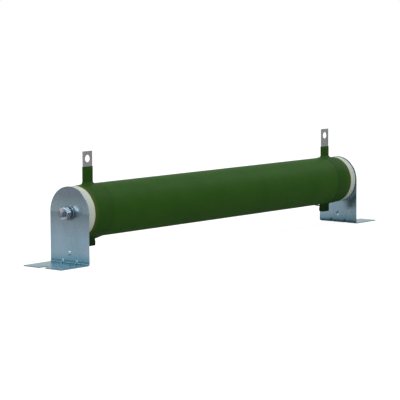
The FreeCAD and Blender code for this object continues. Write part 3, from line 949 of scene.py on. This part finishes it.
@dataclass
class EndStack:
    """What closes one end: cap, gasket, washers, nut and bracket."""

    side: Side
    spigot: float = 8.0
    spigot_radius: float = 21.2
    cap_bore: float = 4.3
    cap_edge: float = 0.5
    cap_inner_edge: float = 0.25
    cap_rounding: float = 0.12
    cap_steps: int = 160
    gasket_radius: float = 28.0
    gasket_bore: float = 4.5
    gasket_rounding: float = 0.08
    gasket_steps: int = 128
    washer_radius: float = 8.5
    washer_bore: float = 4.1
    washer_edge: Point = (0.3, 0.35)
    washer_rounding: float = 0.1
    washer_steps: int = 96
    spring_edge: float = 0.15
    nut_edge: float = 0.12

    def build_cap(self) -> None:
        """Turns the porcelain cap."""
        radius, flange, edge = LAYOUT.tube_radius, LAYOUT.cap_flange, self.cap_edge
        corners = [
            (-self.spigot, self.cap_bore), (-self.spigot, self.spigot_radius),
            (0.0, self.spigot_radius), (0.0, radius - self.cap_inner_edge),
            (self.cap_inner_edge, radius), (flange - edge, radius), (flange, radius - edge),
            (flange, self.cap_bore)]
        Shape().lathe(corners, self.cap_steps, self.cap_rounding).finish(
            f"porcelain_cap_{self.side.label}", CAP_PORCELAIN,
            self.side.placed(LAYOUT.tube_half, LAYOUT.axis_height), [f"end_cap_{self.side.label}"])

    def build_gasket(self) -> None:
        """Turns the mica gasket."""
        corners = [(0.0, self.gasket_bore), (0.0, self.gasket_radius),
                   (LAYOUT.gasket, self.gasket_radius), (LAYOUT.gasket, self.gasket_bore)]
        Shape().lathe(corners, self.gasket_steps, self.gasket_rounding).finish(
            f"mica_gasket_{self.side.label}", MICA,
            self.side.placed(LAYOUT.gasket_place, LAYOUT.axis_height), [f"gasket_{self.side.label}"])

    def build_washer(self) -> None:
        """Turns the flat washer, with one edge rolled by the punch."""
        thick, radius = LAYOUT.washer, self.washer_radius
        along, inward = self.washer_edge
        corners = [(0.0, self.washer_bore), (0.0, radius), (thick - along, radius),
                   (thick, radius - inward), (thick, self.washer_bore)]
        Shape().lathe(corners, self.washer_steps, self.washer_rounding).finish(
            f"plain_washer_{self.side.label}", SHADED_ZINC,
            self.side.placed(LAYOUT.washer_place, LAYOUT.axis_height), [f"flat_washer_{self.side.label}"])

    def build(self) -> None:
        """Builds the whole end."""
        label = self.side.label
        self.build_cap()
        self.build_gasket()
        self.build_washer()
        PressedBracket(self.side).build()
        copy_node(f"spring_washer_{label}", f"split_washer_{label}", SHADED_ZINC, self.spring_edge)
        copy_node(f"nut_{label}", f"hexagon_nut_{label}", ZINC_FASTENER, self.nut_edge)


@dataclass
class ThreadedRod:
    """The M8 rod, threaded where it stands out of the nuts, with a point at each end.

    The thread is a ridge wound round the core. Its foot is sunk into the core, and it stops short
    of the rod's end by the end gap.
    """

    radius: float = LAYOUT.rod_radius
    half: float = LAYOUT.rod_half
    thread_start: float = LAYOUT.nut_place
    pitch: float = 1.25
    depth: float = 0.6
    crest_half: float = 0.12
    root_gap: float = 0.08
    sink: float = 0.1
    end_gap: float = 0.4
    point: float = 1.0
    point_slope: float = 0.75
    tip_run: float = 0.6
    tip_drop: float = 0.4
    core_steps: int = 64
    thread_steps: int = 48
    thread_sharp_deg: float = 40.0

    @property
    def core(self) -> float:
        """Radius at the bottom of the thread."""
        return self.radius - self.depth

    def taper(self, spot: Vector) -> Vector:
        """Sinks the thread's ridge towards the core over the rod's point.

        Args:
            spot: a place on the ridge.

        Returns:
            The place on the sunk ridge.
        """
        over = max(0.0, spot.x - (self.half - self.point))
        radius = math.hypot(spot.y, spot.z)
        wanted = max(self.core - self.sink, min(radius, self.radius - over * self.point_slope))
        return Vector((spot.x, spot.y * wanted / radius, spot.z * wanted / radius))

    def wind(self, side: Side) -> None:
        """Winds the thread's ridge at one end.

        Args:
            side: the end.
        """
        shape = Shape()
        flank, root = self.pitch / 2 - self.root_gap, self.core - self.sink
        ridge = [(-flank, root), (-self.crest_half, self.radius), (self.crest_half, self.radius),
                 (flank, root)]
        edges = shape.outline(ridge)
        verts = list(shape.bm.verts)
        run = self.half - self.end_gap - self.thread_start
        turns = run / self.pitch - 0.5
        bmesh.ops.translate(shape.bm, verts=verts, vec=(self.thread_start + flank, 0, 0))
        bmesh.ops.spin(
            shape.bm, geom=[*verts, *edges], cent=(0, 0, 0), axis=X_AXIS,
            dvec=(self.pitch / self.thread_steps, 0, 0), angle=turns * FULL_TURN,
            steps=int(turns * self.thread_steps))
        bmesh.ops.holes_fill(
            shape.bm, edges=[e for e in shape.bm.edges if e.is_boundary], sides=len(ridge))
        shape.shift(self.taper).finish(
            f"rod_thread_{side.label}", ROLLED_THREAD, side.placed(0.0, LAYOUT.axis_height),
            sharp_deg=self.thread_sharp_deg)

    def build(self) -> None:
        """Turns the core, which has the full radius inside the tube, and winds both threads."""
        half, start, core = self.half, self.thread_start, self.core
        corners = [
            (-half, 0.0), (-half, core - self.tip_drop), (-half + self.tip_run, core),
            (-start, core), (-start + self.depth, self.radius), (start - self.depth, self.radius),
            (start, core), (half - self.tip_run, core), (half, core - self.tip_drop), (half, 0.0)]
        Shape().lathe(corners, self.core_steps).finish(
            "rod_core", ROLLED_THREAD, ON_AXIS, ["through_rod"])
        for side in Side:
            self.wind(side)


@dataclass
class Terminal:
    """One strip folded round the tube, doubled into a lug above and an ear below."""

    side: Side
    thickness: float = LAYOUT.strap
    play: float = 0.05
    fold: float = 0.8
    lug_rise: float = 68.0
    hole_radius: float = 4.25
    hole_inset: float = 8.5
    seam: float = 0.03
    edge: float = 0.1
    fold_steps: int = 6
    ring_steps: int = 72
    tip_steps: int = 10

    def trace(self) -> Shape:
        """Folds the middle surface of the strip, from the top of one lug layer to the other's.

        Returns:
            The sheet, without thickness.
        """
        shape = Shape()
        bm = shape.bm
        half_layer = self.thickness / 2
        ring = LAYOUT.tube_radius + self.play + half_layer
        bend = self.fold + half_layer
        aside = half_layer + bend
        level = math.sqrt((ring + bend) ** 2 - aside ** 2)
        lean = math.asin(aside / (ring + bend))
        fold_turn = math.pi / 2 - lean
        tip = LAYOUT.ear_drop - self.thickness
        ends = [bm.verts.new((x, -half_layer, self.lug_rise)) for x in
                (-LAYOUT.strap_width / 2, LAYOUT.strap_width / 2)]
        edge = bm.edges.new(ends)

        def pull(last: bmesh.types.BMEdge, height: float) -> bmesh.types.BMEdge:
            """Draws the strip on straight up or down.

            Args:
                last: the strip's last edge.
                height: how high it ends.

            Returns:
                The new last edge.
            """
            made = bmesh.ops.extrude_edge_only(bm, edges=[last])["geom"]
            verts = made_of(bmesh.types.BMVert, made)
            bmesh.ops.translate(bm, verts=verts, vec=(0, 0, height - verts[0].co.z))
            return made_of(bmesh.types.BMEdge, made)[0]

        def curl(last: bmesh.types.BMEdge, centre: Point, angle: float, steps: int) -> bmesh.types.BMEdge:
            """Draws the strip on round a centre.

            Args:
                last: the strip's last edge.
                centre: y and z of the centre.
                angle: how far it turns, in radians.
                steps: the number of facets.

            Returns:
                The new last edge.
            """
            made = bmesh.ops.spin(
                bm, geom=[*last.verts, last], cent=(0, *centre), axis=X_AXIS, angle=angle, steps=steps,
                use_merge=False)["geom_last"]
            return made_of(bmesh.types.BMEdge, made)[0]

        edge = pull(edge, level)
        edge = curl(edge, (-aside, level), -fold_turn, self.fold_steps)
        edge = curl(edge, (0.0, 0.0), math.pi - 2 * lean, self.ring_steps)
        edge = curl(edge, (-aside, -level), -fold_turn, self.fold_steps)
        edge = pull(edge, -tip)
        edge = curl(edge, (0.0, -tip), math.pi, self.tip_steps)
        edge = pull(edge, -level)
        edge = curl(edge, (aside, -level), -fold_turn, self.fold_steps)
        edge = curl(edge, (0.0, 0.0), math.pi - 2 * lean, self.ring_steps)
        edge = curl(edge, (aside, level), -fold_turn, self.fold_steps)
        pull(edge, self.lug_rise)
        return shape

    def build(self) -> None:
        """Folds the strip, gives it its thickness and punches the hole."""
        label = self.side.label
        place = self.side.placed(LAYOUT.strap_place, LAYOUT.axis_height)
        piece = self.trace().finish(
            f"strip_terminal_{label}", TINNED_STRIP, place,
            [f"terminal_band_{label}", f"terminal_lug_{label}"])
        hole = Matrix.Translation((0, 0, self.lug_rise - self.hole_inset))
        punch = Punch(place @ hole @ Matrix.Rotation(math.pi / 2, 4, "X"), self.hole_radius)
        thicken(piece, self.thickness - self.seam, self.edge, punch)


@dataclass(frozen=True)
class CoatProfile:
    """How thick the coat lies along the tube, over winding, strap and bare ceramic.

    Each step between two levels takes up a run, the dip lies between winding and strap, and the
    lip thins out to a feather at the coat's end.
    """

    on_tube: float = 0.35
    on_strap: float = 0.35
    on_wire: float = 0.4
    winding_end: float = 209.5
    dip: float = 0.32
    step_run: float = 2.0
    lip_run: float = 1.5
    lip_steps: int = 5
    feather: float = 0.02
    level_cut: float = 4.0
    ramp_cut: float = 1.0

    @property
    def wire_top(self) -> float:
        """The coat's radius over the winding."""
        return LAYOUT.tube_radius + LAYOUT.wire + self.on_wire

    @property
    def strap_top(self) -> float:
        """The coat's radius over the strap."""
        return LAYOUT.tube_radius + LAYOUT.strap + self.on_strap

    def line(self) -> List[Point]:
        """The coat's outer line from the middle of the tube to its right-hand edge.

        Returns:
            x and radius of each point.
        """
        tube_top = LAYOUT.tube_radius + self.on_tube
        marks = [
            (0.0, self.wire_top), (self.winding_end, self.wire_top),
            (LAYOUT.strap_inner - self.step_run / 2, self.wire_top - self.dip),
            (LAYOUT.strap_inner + self.step_run / 2, self.strap_top),
            (LAYOUT.strap_outer - self.step_run, self.strap_top),
            (LAYOUT.coat_end - self.lip_run - self.step_run / 2, tube_top),
            (LAYOUT.coat_end - self.lip_run, tube_top)]
        points = marks[:1]
        for (start, low), (end, high) in zip(marks, marks[1:]):
            count = math.ceil((end - start) / (self.level_cut if low == high else self.ramp_cut))
            for share in (step / count for step in range(1, count + 1)):
                ease = 0.5 - 0.5 * math.cos(math.pi * share)
                points.append((start + (end - start) * share, low + (high - low) * ease))
        for angle in (math.pi / 2 * step / self.lip_steps for step in range(1, self.lip_steps + 1)):
            skin = self.feather + (self.on_tube - self.feather) * math.cos(angle)
            points.append((LAYOUT.coat_end - self.lip_run * (1.0 - math.sin(angle)),
                           LAYOUT.tube_radius + skin))
        return points

    def radius_at(self, distance: float) -> float:
        """The coat's radius at a distance from the middle of the tube, along either half.

        Args:
            distance: the distance.

        Returns:
            The radius, which is the tube's own past the coat's end.
        """
        points = self.line()
        for (x0, low), (x1, high) in zip(points, points[1:]):
            if x0 <= abs(distance) <= x1:
                return low + (high - low) * (abs(distance) - x0) / (x1 - x0)
        return LAYOUT.tube_radius


COAT = CoatProfile()


@dataclass
class CoatShell:
    """The coat on the tube, which has run a little, as a dipped coat does.

    Slow waves and faint rings cover the surface above the calm height, and the line where the coat
    ends wanders over the edge's run. The seeds pick a place in the noise.
    """

    steps: int = 224
    waviness: float = 0.05
    wave_along: float = 30.0
    wave_round: float = 16.0
    ring_pitch: float = 5.0
    ring_share: float = 0.5
    ring_seed: Point = (3.1, 7.7)
    calm_height: float = 0.3
    edge_run: float = 3.5
    edge_wander: float = 0.35
    wander_pitch: float = 7.0
    wander_seed: float = 9.0
    sharp_deg: float = 60.0

    def run(self, spot: Vector) -> Vector:
        """Waves the surface, and the line where the coat ends.

        Args:
            spot: a place on the coat as dipped.

        Returns:
            The place after the coat has run.
        """
        radius = math.hypot(spot.y, spot.z)
        lift = 0.0
        if radius > LAYOUT.tube_radius + self.calm_height:
            slow = noise.noise(Vector((
                spot.x / self.wave_along, spot.y / self.wave_round, spot.z / self.wave_round)))
            ring = noise.noise(Vector((spot.x / self.ring_pitch, *self.ring_seed)))
            lift = self.waviness * (slow + self.ring_share * ring)
        share = max(0.0, (abs(spot.x) - LAYOUT.coat_end + self.edge_run) / self.edge_run)
        wander = self.edge_wander * noise.noise(Vector((
            spot.y / self.wander_pitch, spot.z / self.wander_pitch,
            math.copysign(self.wander_seed, spot.x))))
        scale = (radius + lift) / radius
        return Vector((spot.x + math.copysign(wander * share, spot.x), spot.y * scale, spot.z * scale))

    def build(self) -> None:
        """Turns the coat and lets it run."""
        outer = COAT.line()
        mirrored = [(-x, radius) for x, radius in reversed(outer[1:])]
        inner = [(LAYOUT.coat_end, LAYOUT.tube_radius), (-LAYOUT.coat_end, LAYOUT.tube_radius)]
        shape = Shape().lathe(mirrored + outer + inner, self.steps)
        shape.shift(self.run).finish(
            "coat_shell", FIRED_COAT, ON_AXIS, ["green_coat"], sharp_deg=self.sharp_deg)


class Way(Enum):
    """Which way a part of the terminal stands off the tube."""

    UP = 1.0
    DOWN = -1.0


@dataclass
class CoatSleeve:
    """The coat round a lug or an ear, flared where it meets the shell.

    The reach is measured from the axis, and the root is the flare's width and height. The ramp is
    how far the root runs out towards the middle of the tube. Each step of the mouth gives how far
    it lies below the end, and how far in from the wall.
    """

    way: Way
    skin: float
    reach: float
    root: Point
    ramp: float = 0.0
    root_steps: int = 6
    wall_steps: int = 4
    side_cuts: int = 12
    corner_share: float = 0.6
    flare_aside: float = 0.75
    sink: float = 0.12
    mouth_depth: float = 0.3
    mouth: Tuple[Point, ...] = ((0.08, 0.1), (0.0, 0.35))
    ripple_height: float = 0.08
    ripple_pitch: float = 3.5

    @property
    def half_x(self) -> float:
        """Half the sleeve's width along the tube."""
        return LAYOUT.strap_width / 2 + self.skin

    @property
    def half_y(self) -> float:
        """Half its thickness across the doubled strip."""
        return LAYOUT.strap + self.skin

    def on_root(self, x: float, y: float, share: float) -> Vector:
        """A place on the fillet between shell and sleeve.

        Args:
            x: place in the sleeve's plan, along the tube.
            y: place in the plan, across the strip.
            share: how far up the fillet, from 0 in the shell to 1 on the sleeve.

        Returns:
            The place.
        """
        width, height = self.root
        angle = share * math.pi / 2
        flare = width * (1.0 - math.sin(angle))
        rise = (height + self.sink) * (1.0 - math.cos(angle))
        drawn = self.ramp * (0.5 + 0.5 * math.cos(math.pi * share)) ** 2
        across = x / self.half_x
        wide_x = x + flare * across * abs(across) - drawn * max(-across, 0.0) ** 2
        wide_y = y * (1.0 + self.flare_aside * flare / self.half_y)
        under = COAT.radius_at(LAYOUT.strap_place + wide_x) - self.sink
        level = math.sqrt(under ** 2 - wide_y ** 2) + rise
        return Vector((wide_x, wide_y, self.way.value * level))

    def on_wall(self, x: float, y: float, level: float, inset: float) -> Vector:
        """A place on the sleeve's wall or its rounded mouth.

        Args:
            x: place in the sleeve's plan, along the tube.
            y: place in the plan, across the strip.
            level: distance from the axis.
            inset: how far in from the wall it lies.

        Returns:
            The place.
        """
        return Vector((
            x * (1.0 - inset / self.half_x), y * (1.0 - inset / self.half_y), self.way.value * level))

    def rows(self) -> List[Callable[[float, float], Vector]]:
        """The rings that the sleeve is drawn through, from the shell to its mouth.

        Returns:
            For each ring, the rule that takes a place in the plan to its place on the ring.
        """
        start, rim = COAT.strap_top + self.root[1], self.reach - self.mouth_depth
        rings = [partial(self.on_root, share=step / self.root_steps)
                 for step in range(self.root_steps + 1)]
        rings += [partial(self.on_wall, level=start + (rim - start) * step / self.wall_steps, inset=0.0)
                  for step in range(1, self.wall_steps + 1)]
        rings += [partial(self.on_wall, level=self.reach - below, inset=inset)
                  for below, inset in self.mouth]
        return rings

    def shape(self) -> Shape:
        """Draws the sleeve's plan through its rings.

        Returns:
            The sleeve, closed at its mouth.
        """
        shape = Shape()
        bm = shape.bm
        plan = bm.verts.layers.float_vector.new("plan")
        half_x, half_y = self.half_x, self.half_y
        edges = shape.outline(
            [(half_x, half_y), (-half_x, half_y), (-half_x, -half_y), (half_x, -half_y)],
            half_y * self.corner_share)
        long = [e for e in edges if e.calc_length() > half_y]
        bmesh.ops.subdivide_edges(bm, edges=long, cuts=self.side_cuts, use_grid_fill=False)
        for vert in bm.verts:
            vert[plan] = (vert.co.x, vert.co.z, 0.0)

        def lay(verts: Iterable[bmesh.types.BMVert], ring: Callable[[float, float], Vector]) -> None:
            """Puts vertices on a ring by their places in the plan."""
            for vert in verts:
                vert.co = ring(vert[plan].x, vert[plan].y)

        first, *others = self.rows()
        lay(bm.verts, first)
        edges = list(bm.edges)
        for ring in others:
            made = bmesh.ops.extrude_edge_only(bm, edges=edges)["geom"]
            edges = made_of(bmesh.types.BMEdge, made)
            lay(made_of(bmesh.types.BMVert, made), ring)
        bmesh.ops.contextual_create(bm, geom=edges)
        return shape

    def ripple(self, spot: Vector) -> Vector:
        """Moves a place a little, for the slight unevenness of brushed-on coat."""
        return spot + self.ripple_height * noise.noise_vector(spot / self.ripple_pitch)


@dataclass(frozen=True)
class CoatTrait:
    """How the coat has come out on one terminal.

    It covers the lug up to a level above the axis, runs out along the tube in a ramp, lifts the
    corner of the ear's tip, and may fill the gap above the lead with a web.
    """

    lug_level: float
    ramp: float
    ear_lift: float
    webbed: bool


COAT_TRAITS: Dict[Side, CoatTrait] = {
    Side.LEFT: CoatTrait(lug_level=50.5, ramp=1.0, ear_lift=0.4, webbed=True),
    Side.RIGHT: CoatTrait(lug_level=45.0, ramp=9.0, ear_lift=5.0, webbed=False)}


@dataclass
class TerminalCoat:
    """The coat on one terminal: round its lug, its ear, and the lead that comes to the ear.

    The lead falls by its drop over its run, and goes on past both ends of it: by a share of the
    run, the tail, into the shell, and by the join into the ear.
    """

    side: Side
    lug_skin: float = 0.5
    lug_root: Point = (3.4, 3.2)
    ear_skin: float = 0.8
    ear_root: Point = (2.2, 1.6)
    ear_swell: float = 2.2
    swell_wave: float = 0.7 * math.pi
    lift_from: float = 0.55
    lift_power: int = 6
    sharp_deg: float = 60.0
    lead_run: float = 14.0
    lead_drop: float = 2.6
    lead_radius: float = 0.8
    lead_tail: float = 0.25
    lead_join: float = 0.6
    lead_steps: int = 24
    lead_cuts: int = 12
    web_roof: float = 0.6
    web_slack: float = 0.1

    @property
    def trait(self) -> CoatTrait:
        """How the coat has come out at this end."""
        return COAT_TRAITS[self.side]

    @property
    def place(self) -> Matrix:
        """Where the terminal's own origin goes."""
        return self.side.placed(LAYOUT.strap_place, LAYOUT.axis_height)

    @property
    def ear_tip(self) -> float:
        """Where the ear's coat ends, from the axis."""
        return LAYOUT.ear_drop + self.ear_skin

    def swell(self, spot: Vector) -> Vector:
        """Thickens the ear's coat on the side where the lead joins it, and rounds its corner.

        Args:
            spot: a place on the ear's sleeve.

        Returns:
            The place on the swollen sleeve.
        """
        inward = -spot.x / (LAYOUT.strap_width / 2)
        depth = (-spot.z - LAYOUT.tube_radius) / (self.ear_tip - LAYOUT.tube_radius)
        wave = max(0.0, math.sin(self.swell_wave * min(depth, 1.0)))
        bulge = self.ear_swell * max(inward, 0.0) ** 2 * wave
        corner = max(0.0, inward - self.lift_from) ** 2 * max(depth, 0.0) ** self.lift_power
        return Vector((spot.x - bulge, spot.y, spot.z + self.trait.ear_lift * corner))

    def build_sleeves(self) -> None:
        """Makes the sleeves round the lug and the ear."""
        lug = CoatSleeve(
            Way.UP, self.lug_skin, self.trait.lug_level, self.lug_root, ramp=self.trait.ramp)
        lug.shape().shift(lug.ripple).finish(
            f"lug_coat_{self.side.label}", FIRED_COAT, self.place, sharp_deg=self.sharp_deg)
        ear = CoatSleeve(Way.DOWN, self.ear_skin, self.ear_tip, self.ear_root)
        ear.shape().shift(self.swell).shift(ear.ripple).finish(
            f"ear_coat_{self.side.label}", FIRED_COAT, self.place, sharp_deg=self.sharp_deg)

    def build_lead(self) -> None:
        """Makes the coat round the lead, on its way from the winding down to the ear."""
        shape = Shape()
        run, drop = self.lead_run, self.lead_drop
        edge, level = -LAYOUT.strap_width / 2, -COAT.wire_top
        start = Vector((edge - run * (1.0 + self.lead_tail), 0.0, level + drop * self.lead_tail))
        end = Vector((edge + self.lead_join, 0.0, level - drop * (run + self.lead_join) / run))
        way = end - start
        turn = way.to_track_quat("Z", "Y").to_matrix().to_4x4()
        bmesh.ops.create_cone(
            shape.bm, cap_ends=True, segments=self.lead_steps, radius1=self.lead_radius,
            radius2=self.lead_radius, depth=way.length,
            matrix=Matrix.Translation((start + end) / 2) @ turn)
        long = [e for e in shape.bm.edges if e.calc_length() > 2 * self.lead_radius]
        bmesh.ops.subdivide_edges(shape.bm, edges=long, cuts=self.lead_cuts)

        def web(spot: Vector) -> Vector:
            """Draws the coat's upper side up into the shell, as where it has filled the gap.

            Args:
                spot: a place on the lead's coat.

            Returns:
                The place on the web.
            """
            share = (spot.x - start.x) / (end.x - start.x)
            middle = start.z + (end.z - start.z) * share
            above = spot.z > middle + self.web_slack
            return Vector((spot.x, spot.y, level + self.web_roof)) if above else spot

        if self.trait.webbed:
            shape.shift(web)
        shape.finish(f"lead_coat_{self.side.label}", FIRED_COAT, self.place)

    def build(self) -> None:
        """Builds the coat on the whole terminal."""
        self.build_sleeves()
        self.build_lead()


# Stage, light and camera

@dataclass(frozen=True)
class Softbox:
    """A square soft lamp: its place and side in metres, and its power in watts."""

    name: str
    spot: Tuple[float, float, float]
    side: float
    power: float

    def build(self, aim: Vector) -> None:
        """Hangs the lamp.

        Args:
            aim: the place that it points at.
        """
        lamp = bpy.data.lights.new(self.name, "AREA")
        lamp.shape = "SQUARE"
        lamp.size = self.side
        lamp.energy = self.power
        holder = bpy.data.objects.new(self.name, lamp)
        holder.location = self.spot
        holder.rotation_mode = "QUATERNION"
        holder.rotation_quaternion = (aim - Vector(self.spot)).to_track_quat("-Z", "Y")
        bpy.context.scene.collection.objects.link(holder)


@dataclass
class Stage:
    """A pale floor under soft studio light, before a white background."""

    floor_half: float = 4.0
    floor_gap: float = 0.0002
    floor_code: str = "CCCCCC"
    glow: float = 0.88
    albedo: float = 0.30
    lit: float = 0.6
    mirrored: float = 0.8
    shown: float = 1.0
    aim: Tuple[float, float, float] = (0.0, 0.0, 0.06)
    softboxes: Tuple[Softbox, ...] = (
        Softbox("top_softbox", (0.0, 0.0, 1.6), side=1.6, power=7.0),
        Softbox("front_softbox", (-1.0, -1.5, 0.9), side=1.2, power=2.5),
        Softbox("left_softbox", (-1.6, -0.45, 1.35), side=0.4, power=5.0),
        Softbox("rear_softbox", (-1.6, 1.2, 1.15), side=0.6, power=6.0),
        Softbox("right_softbox", (1.5, -0.35, 1.3), side=0.7, power=5.0))

    def build_floor(self) -> None:
        """Lays the floor, just under the feet, white but for the object's soft shadow."""
        bm = bmesh.new()
        bmesh.ops.create_grid(bm, x_segments=1, y_segments=1, size=self.floor_half)
        mesh = bpy.data.meshes.new("floor")
        bm.to_mesh(mesh)
        bm.free()
        floor = bpy.data.objects.new("floor", mesh)
        floor.location.z = -self.floor_gap
        bpy.context.scene.collection.objects.link(floor)
        material = bpy.data.materials.new("white_paper_floor")
        material.use_nodes = True
        tree = material.node_tree
        tree.nodes.clear()
        path = add_node(tree, "ShaderNodeLightPath")
        paper = add_node(tree, "ShaderNodeBsdfDiffuse", {"Color": (self.albedo,) * 3 + (1.0,)})
        light = add_node(tree, "ShaderNodeEmission", {"Color": linear("FFFFFF"), "Strength": self.glow})
        seen = add_node(tree, "ShaderNodeAddShader", {0: paper.outputs[0], 1: light.outputs[0]})
        plain = add_node(tree, "ShaderNodeBsdfDiffuse", {"Color": linear(self.floor_code)})
        mixed = add_node(tree, "ShaderNodeMixShader", {
            0: path.outputs["Is Camera Ray"], 1: plain.outputs[0], 2: seen.outputs[0]})
        out = add_node(tree, "ShaderNodeOutputMaterial")
        tree.links.new(mixed.outputs[0], out.inputs["Surface"])
        mesh.materials.append(material)

    def build_world(self) -> None:
        """Lights the scene evenly, and shows white behind it."""
        world = bpy.data.worlds.new("studio")
        world.use_nodes = True
        tree = world.node_tree
        tree.nodes.clear()
        path = add_node(tree, "ShaderNodeLightPath")
        seen = add_node(tree, "ShaderNodeMath", {
            0: path.outputs["Is Camera Ray"], 1: path.outputs["Is Transmission Ray"]}, operation="MAXIMUM")
        strength = add_node(tree, "ShaderNodeMapRange", {
            "Value": seen.outputs[0], "To Min": self.lit, "To Max": self.shown})
        mirrored = add_node(tree, "ShaderNodeMapRange", {
            "Value": path.outputs["Is Glossy Ray"], "To Min": 0.0, "To Max": self.mirrored})
        highest = add_node(tree, "ShaderNodeMath", {
            0: strength.outputs["Result"], 1: mirrored.outputs["Result"]}, operation="MAXIMUM")
        back = add_node(tree, "ShaderNodeBackground", {
            "Color": linear("FFFFFF"), "Strength": highest.outputs[0]})
        out = add_node(tree, "ShaderNodeOutputWorld")
        tree.links.new(back.outputs[0], out.inputs["Surface"])
        bpy.context.scene.world = world

    def build(self) -> None:
        """Builds floor, world and lamps."""
        self.build_floor()
        self.build_world()
        for softbox in self.softboxes:
            softbox.build(Vector(self.aim))
        bpy.context.scene.view_settings.view_transform = "Standard"


@dataclass(frozen=True)
class Viewpoint:
    """The photograph's camera. Azimuth 0 looks along +Y; the picture is taken as 400 by 400."""

    azimuth_deg: float = -49.474
    elevation_deg: float = 6.097
    roll_deg: float = -0.326
    distance_mm: float = 2329.4
    focal_px: float = 1897.64
    aside_mm: float = -18.23
    above_mm: float = -8.90
    height_mm: float = 60.0
    picture_px: float = 400.0
    sensor_mm: float = 36.0
    clip_m: float = 100.0

    def build(self) -> None:
        """Sets up the camera and makes it the scene's own."""
        azimuth, elevation = math.radians(self.azimuth_deg), math.radians(self.elevation_deg)
        back = Vector((
            math.sin(azimuth) * math.cos(elevation), -math.cos(azimuth) * math.cos(elevation),
            math.sin(elevation)))
        right = (-back).cross(Z_AXIS).normalized()
        up = right.cross(-back)
        roll = math.radians(self.roll_deg)
        right, up = (
            math.cos(roll) * right + math.sin(roll) * up, -math.sin(roll) * right + math.cos(roll) * up)
        target = self.aside_mm * right + self.above_mm * up + self.height_mm * Z_AXIS
        lens = bpy.data.cameras.new("photo_lens")
        lens.sensor_width = self.sensor_mm
        lens.lens = self.focal_px / self.picture_px * self.sensor_mm
        lens.clip_end = self.clip_m
        camera = bpy.data.objects.new("photo_camera", lens)
        turn = Matrix((right, up, back)).transposed().to_4x4()
        camera.matrix_world = Matrix.Translation((target + back * self.distance_mm) * MM) @ turn
        bpy.context.scene.collection.objects.link(camera)
        bpy.context.scene.camera = camera


def main() -> None:
    """Builds the pieces in order, then the stage and the camera."""
    logging.basicConfig(level=logging.INFO, format="%(message)s")
    noise.seed_set(NOISE_SEED)
    CeramicTube().build()
    dress_node("resistance_winding", NICHROME)
    for side in Side:
        dress_node(f"winding_lead_{side.label}", NICHROME)
        Terminal(side).build()
        EndStack(side).build()
    ThreadedRod().build()
    CoatShell().build()
    for side in Side:
        TerminalCoat(side).build()
    Stage().build()
    Viewpoint().build()


if __name__ == "__main__":
    main()
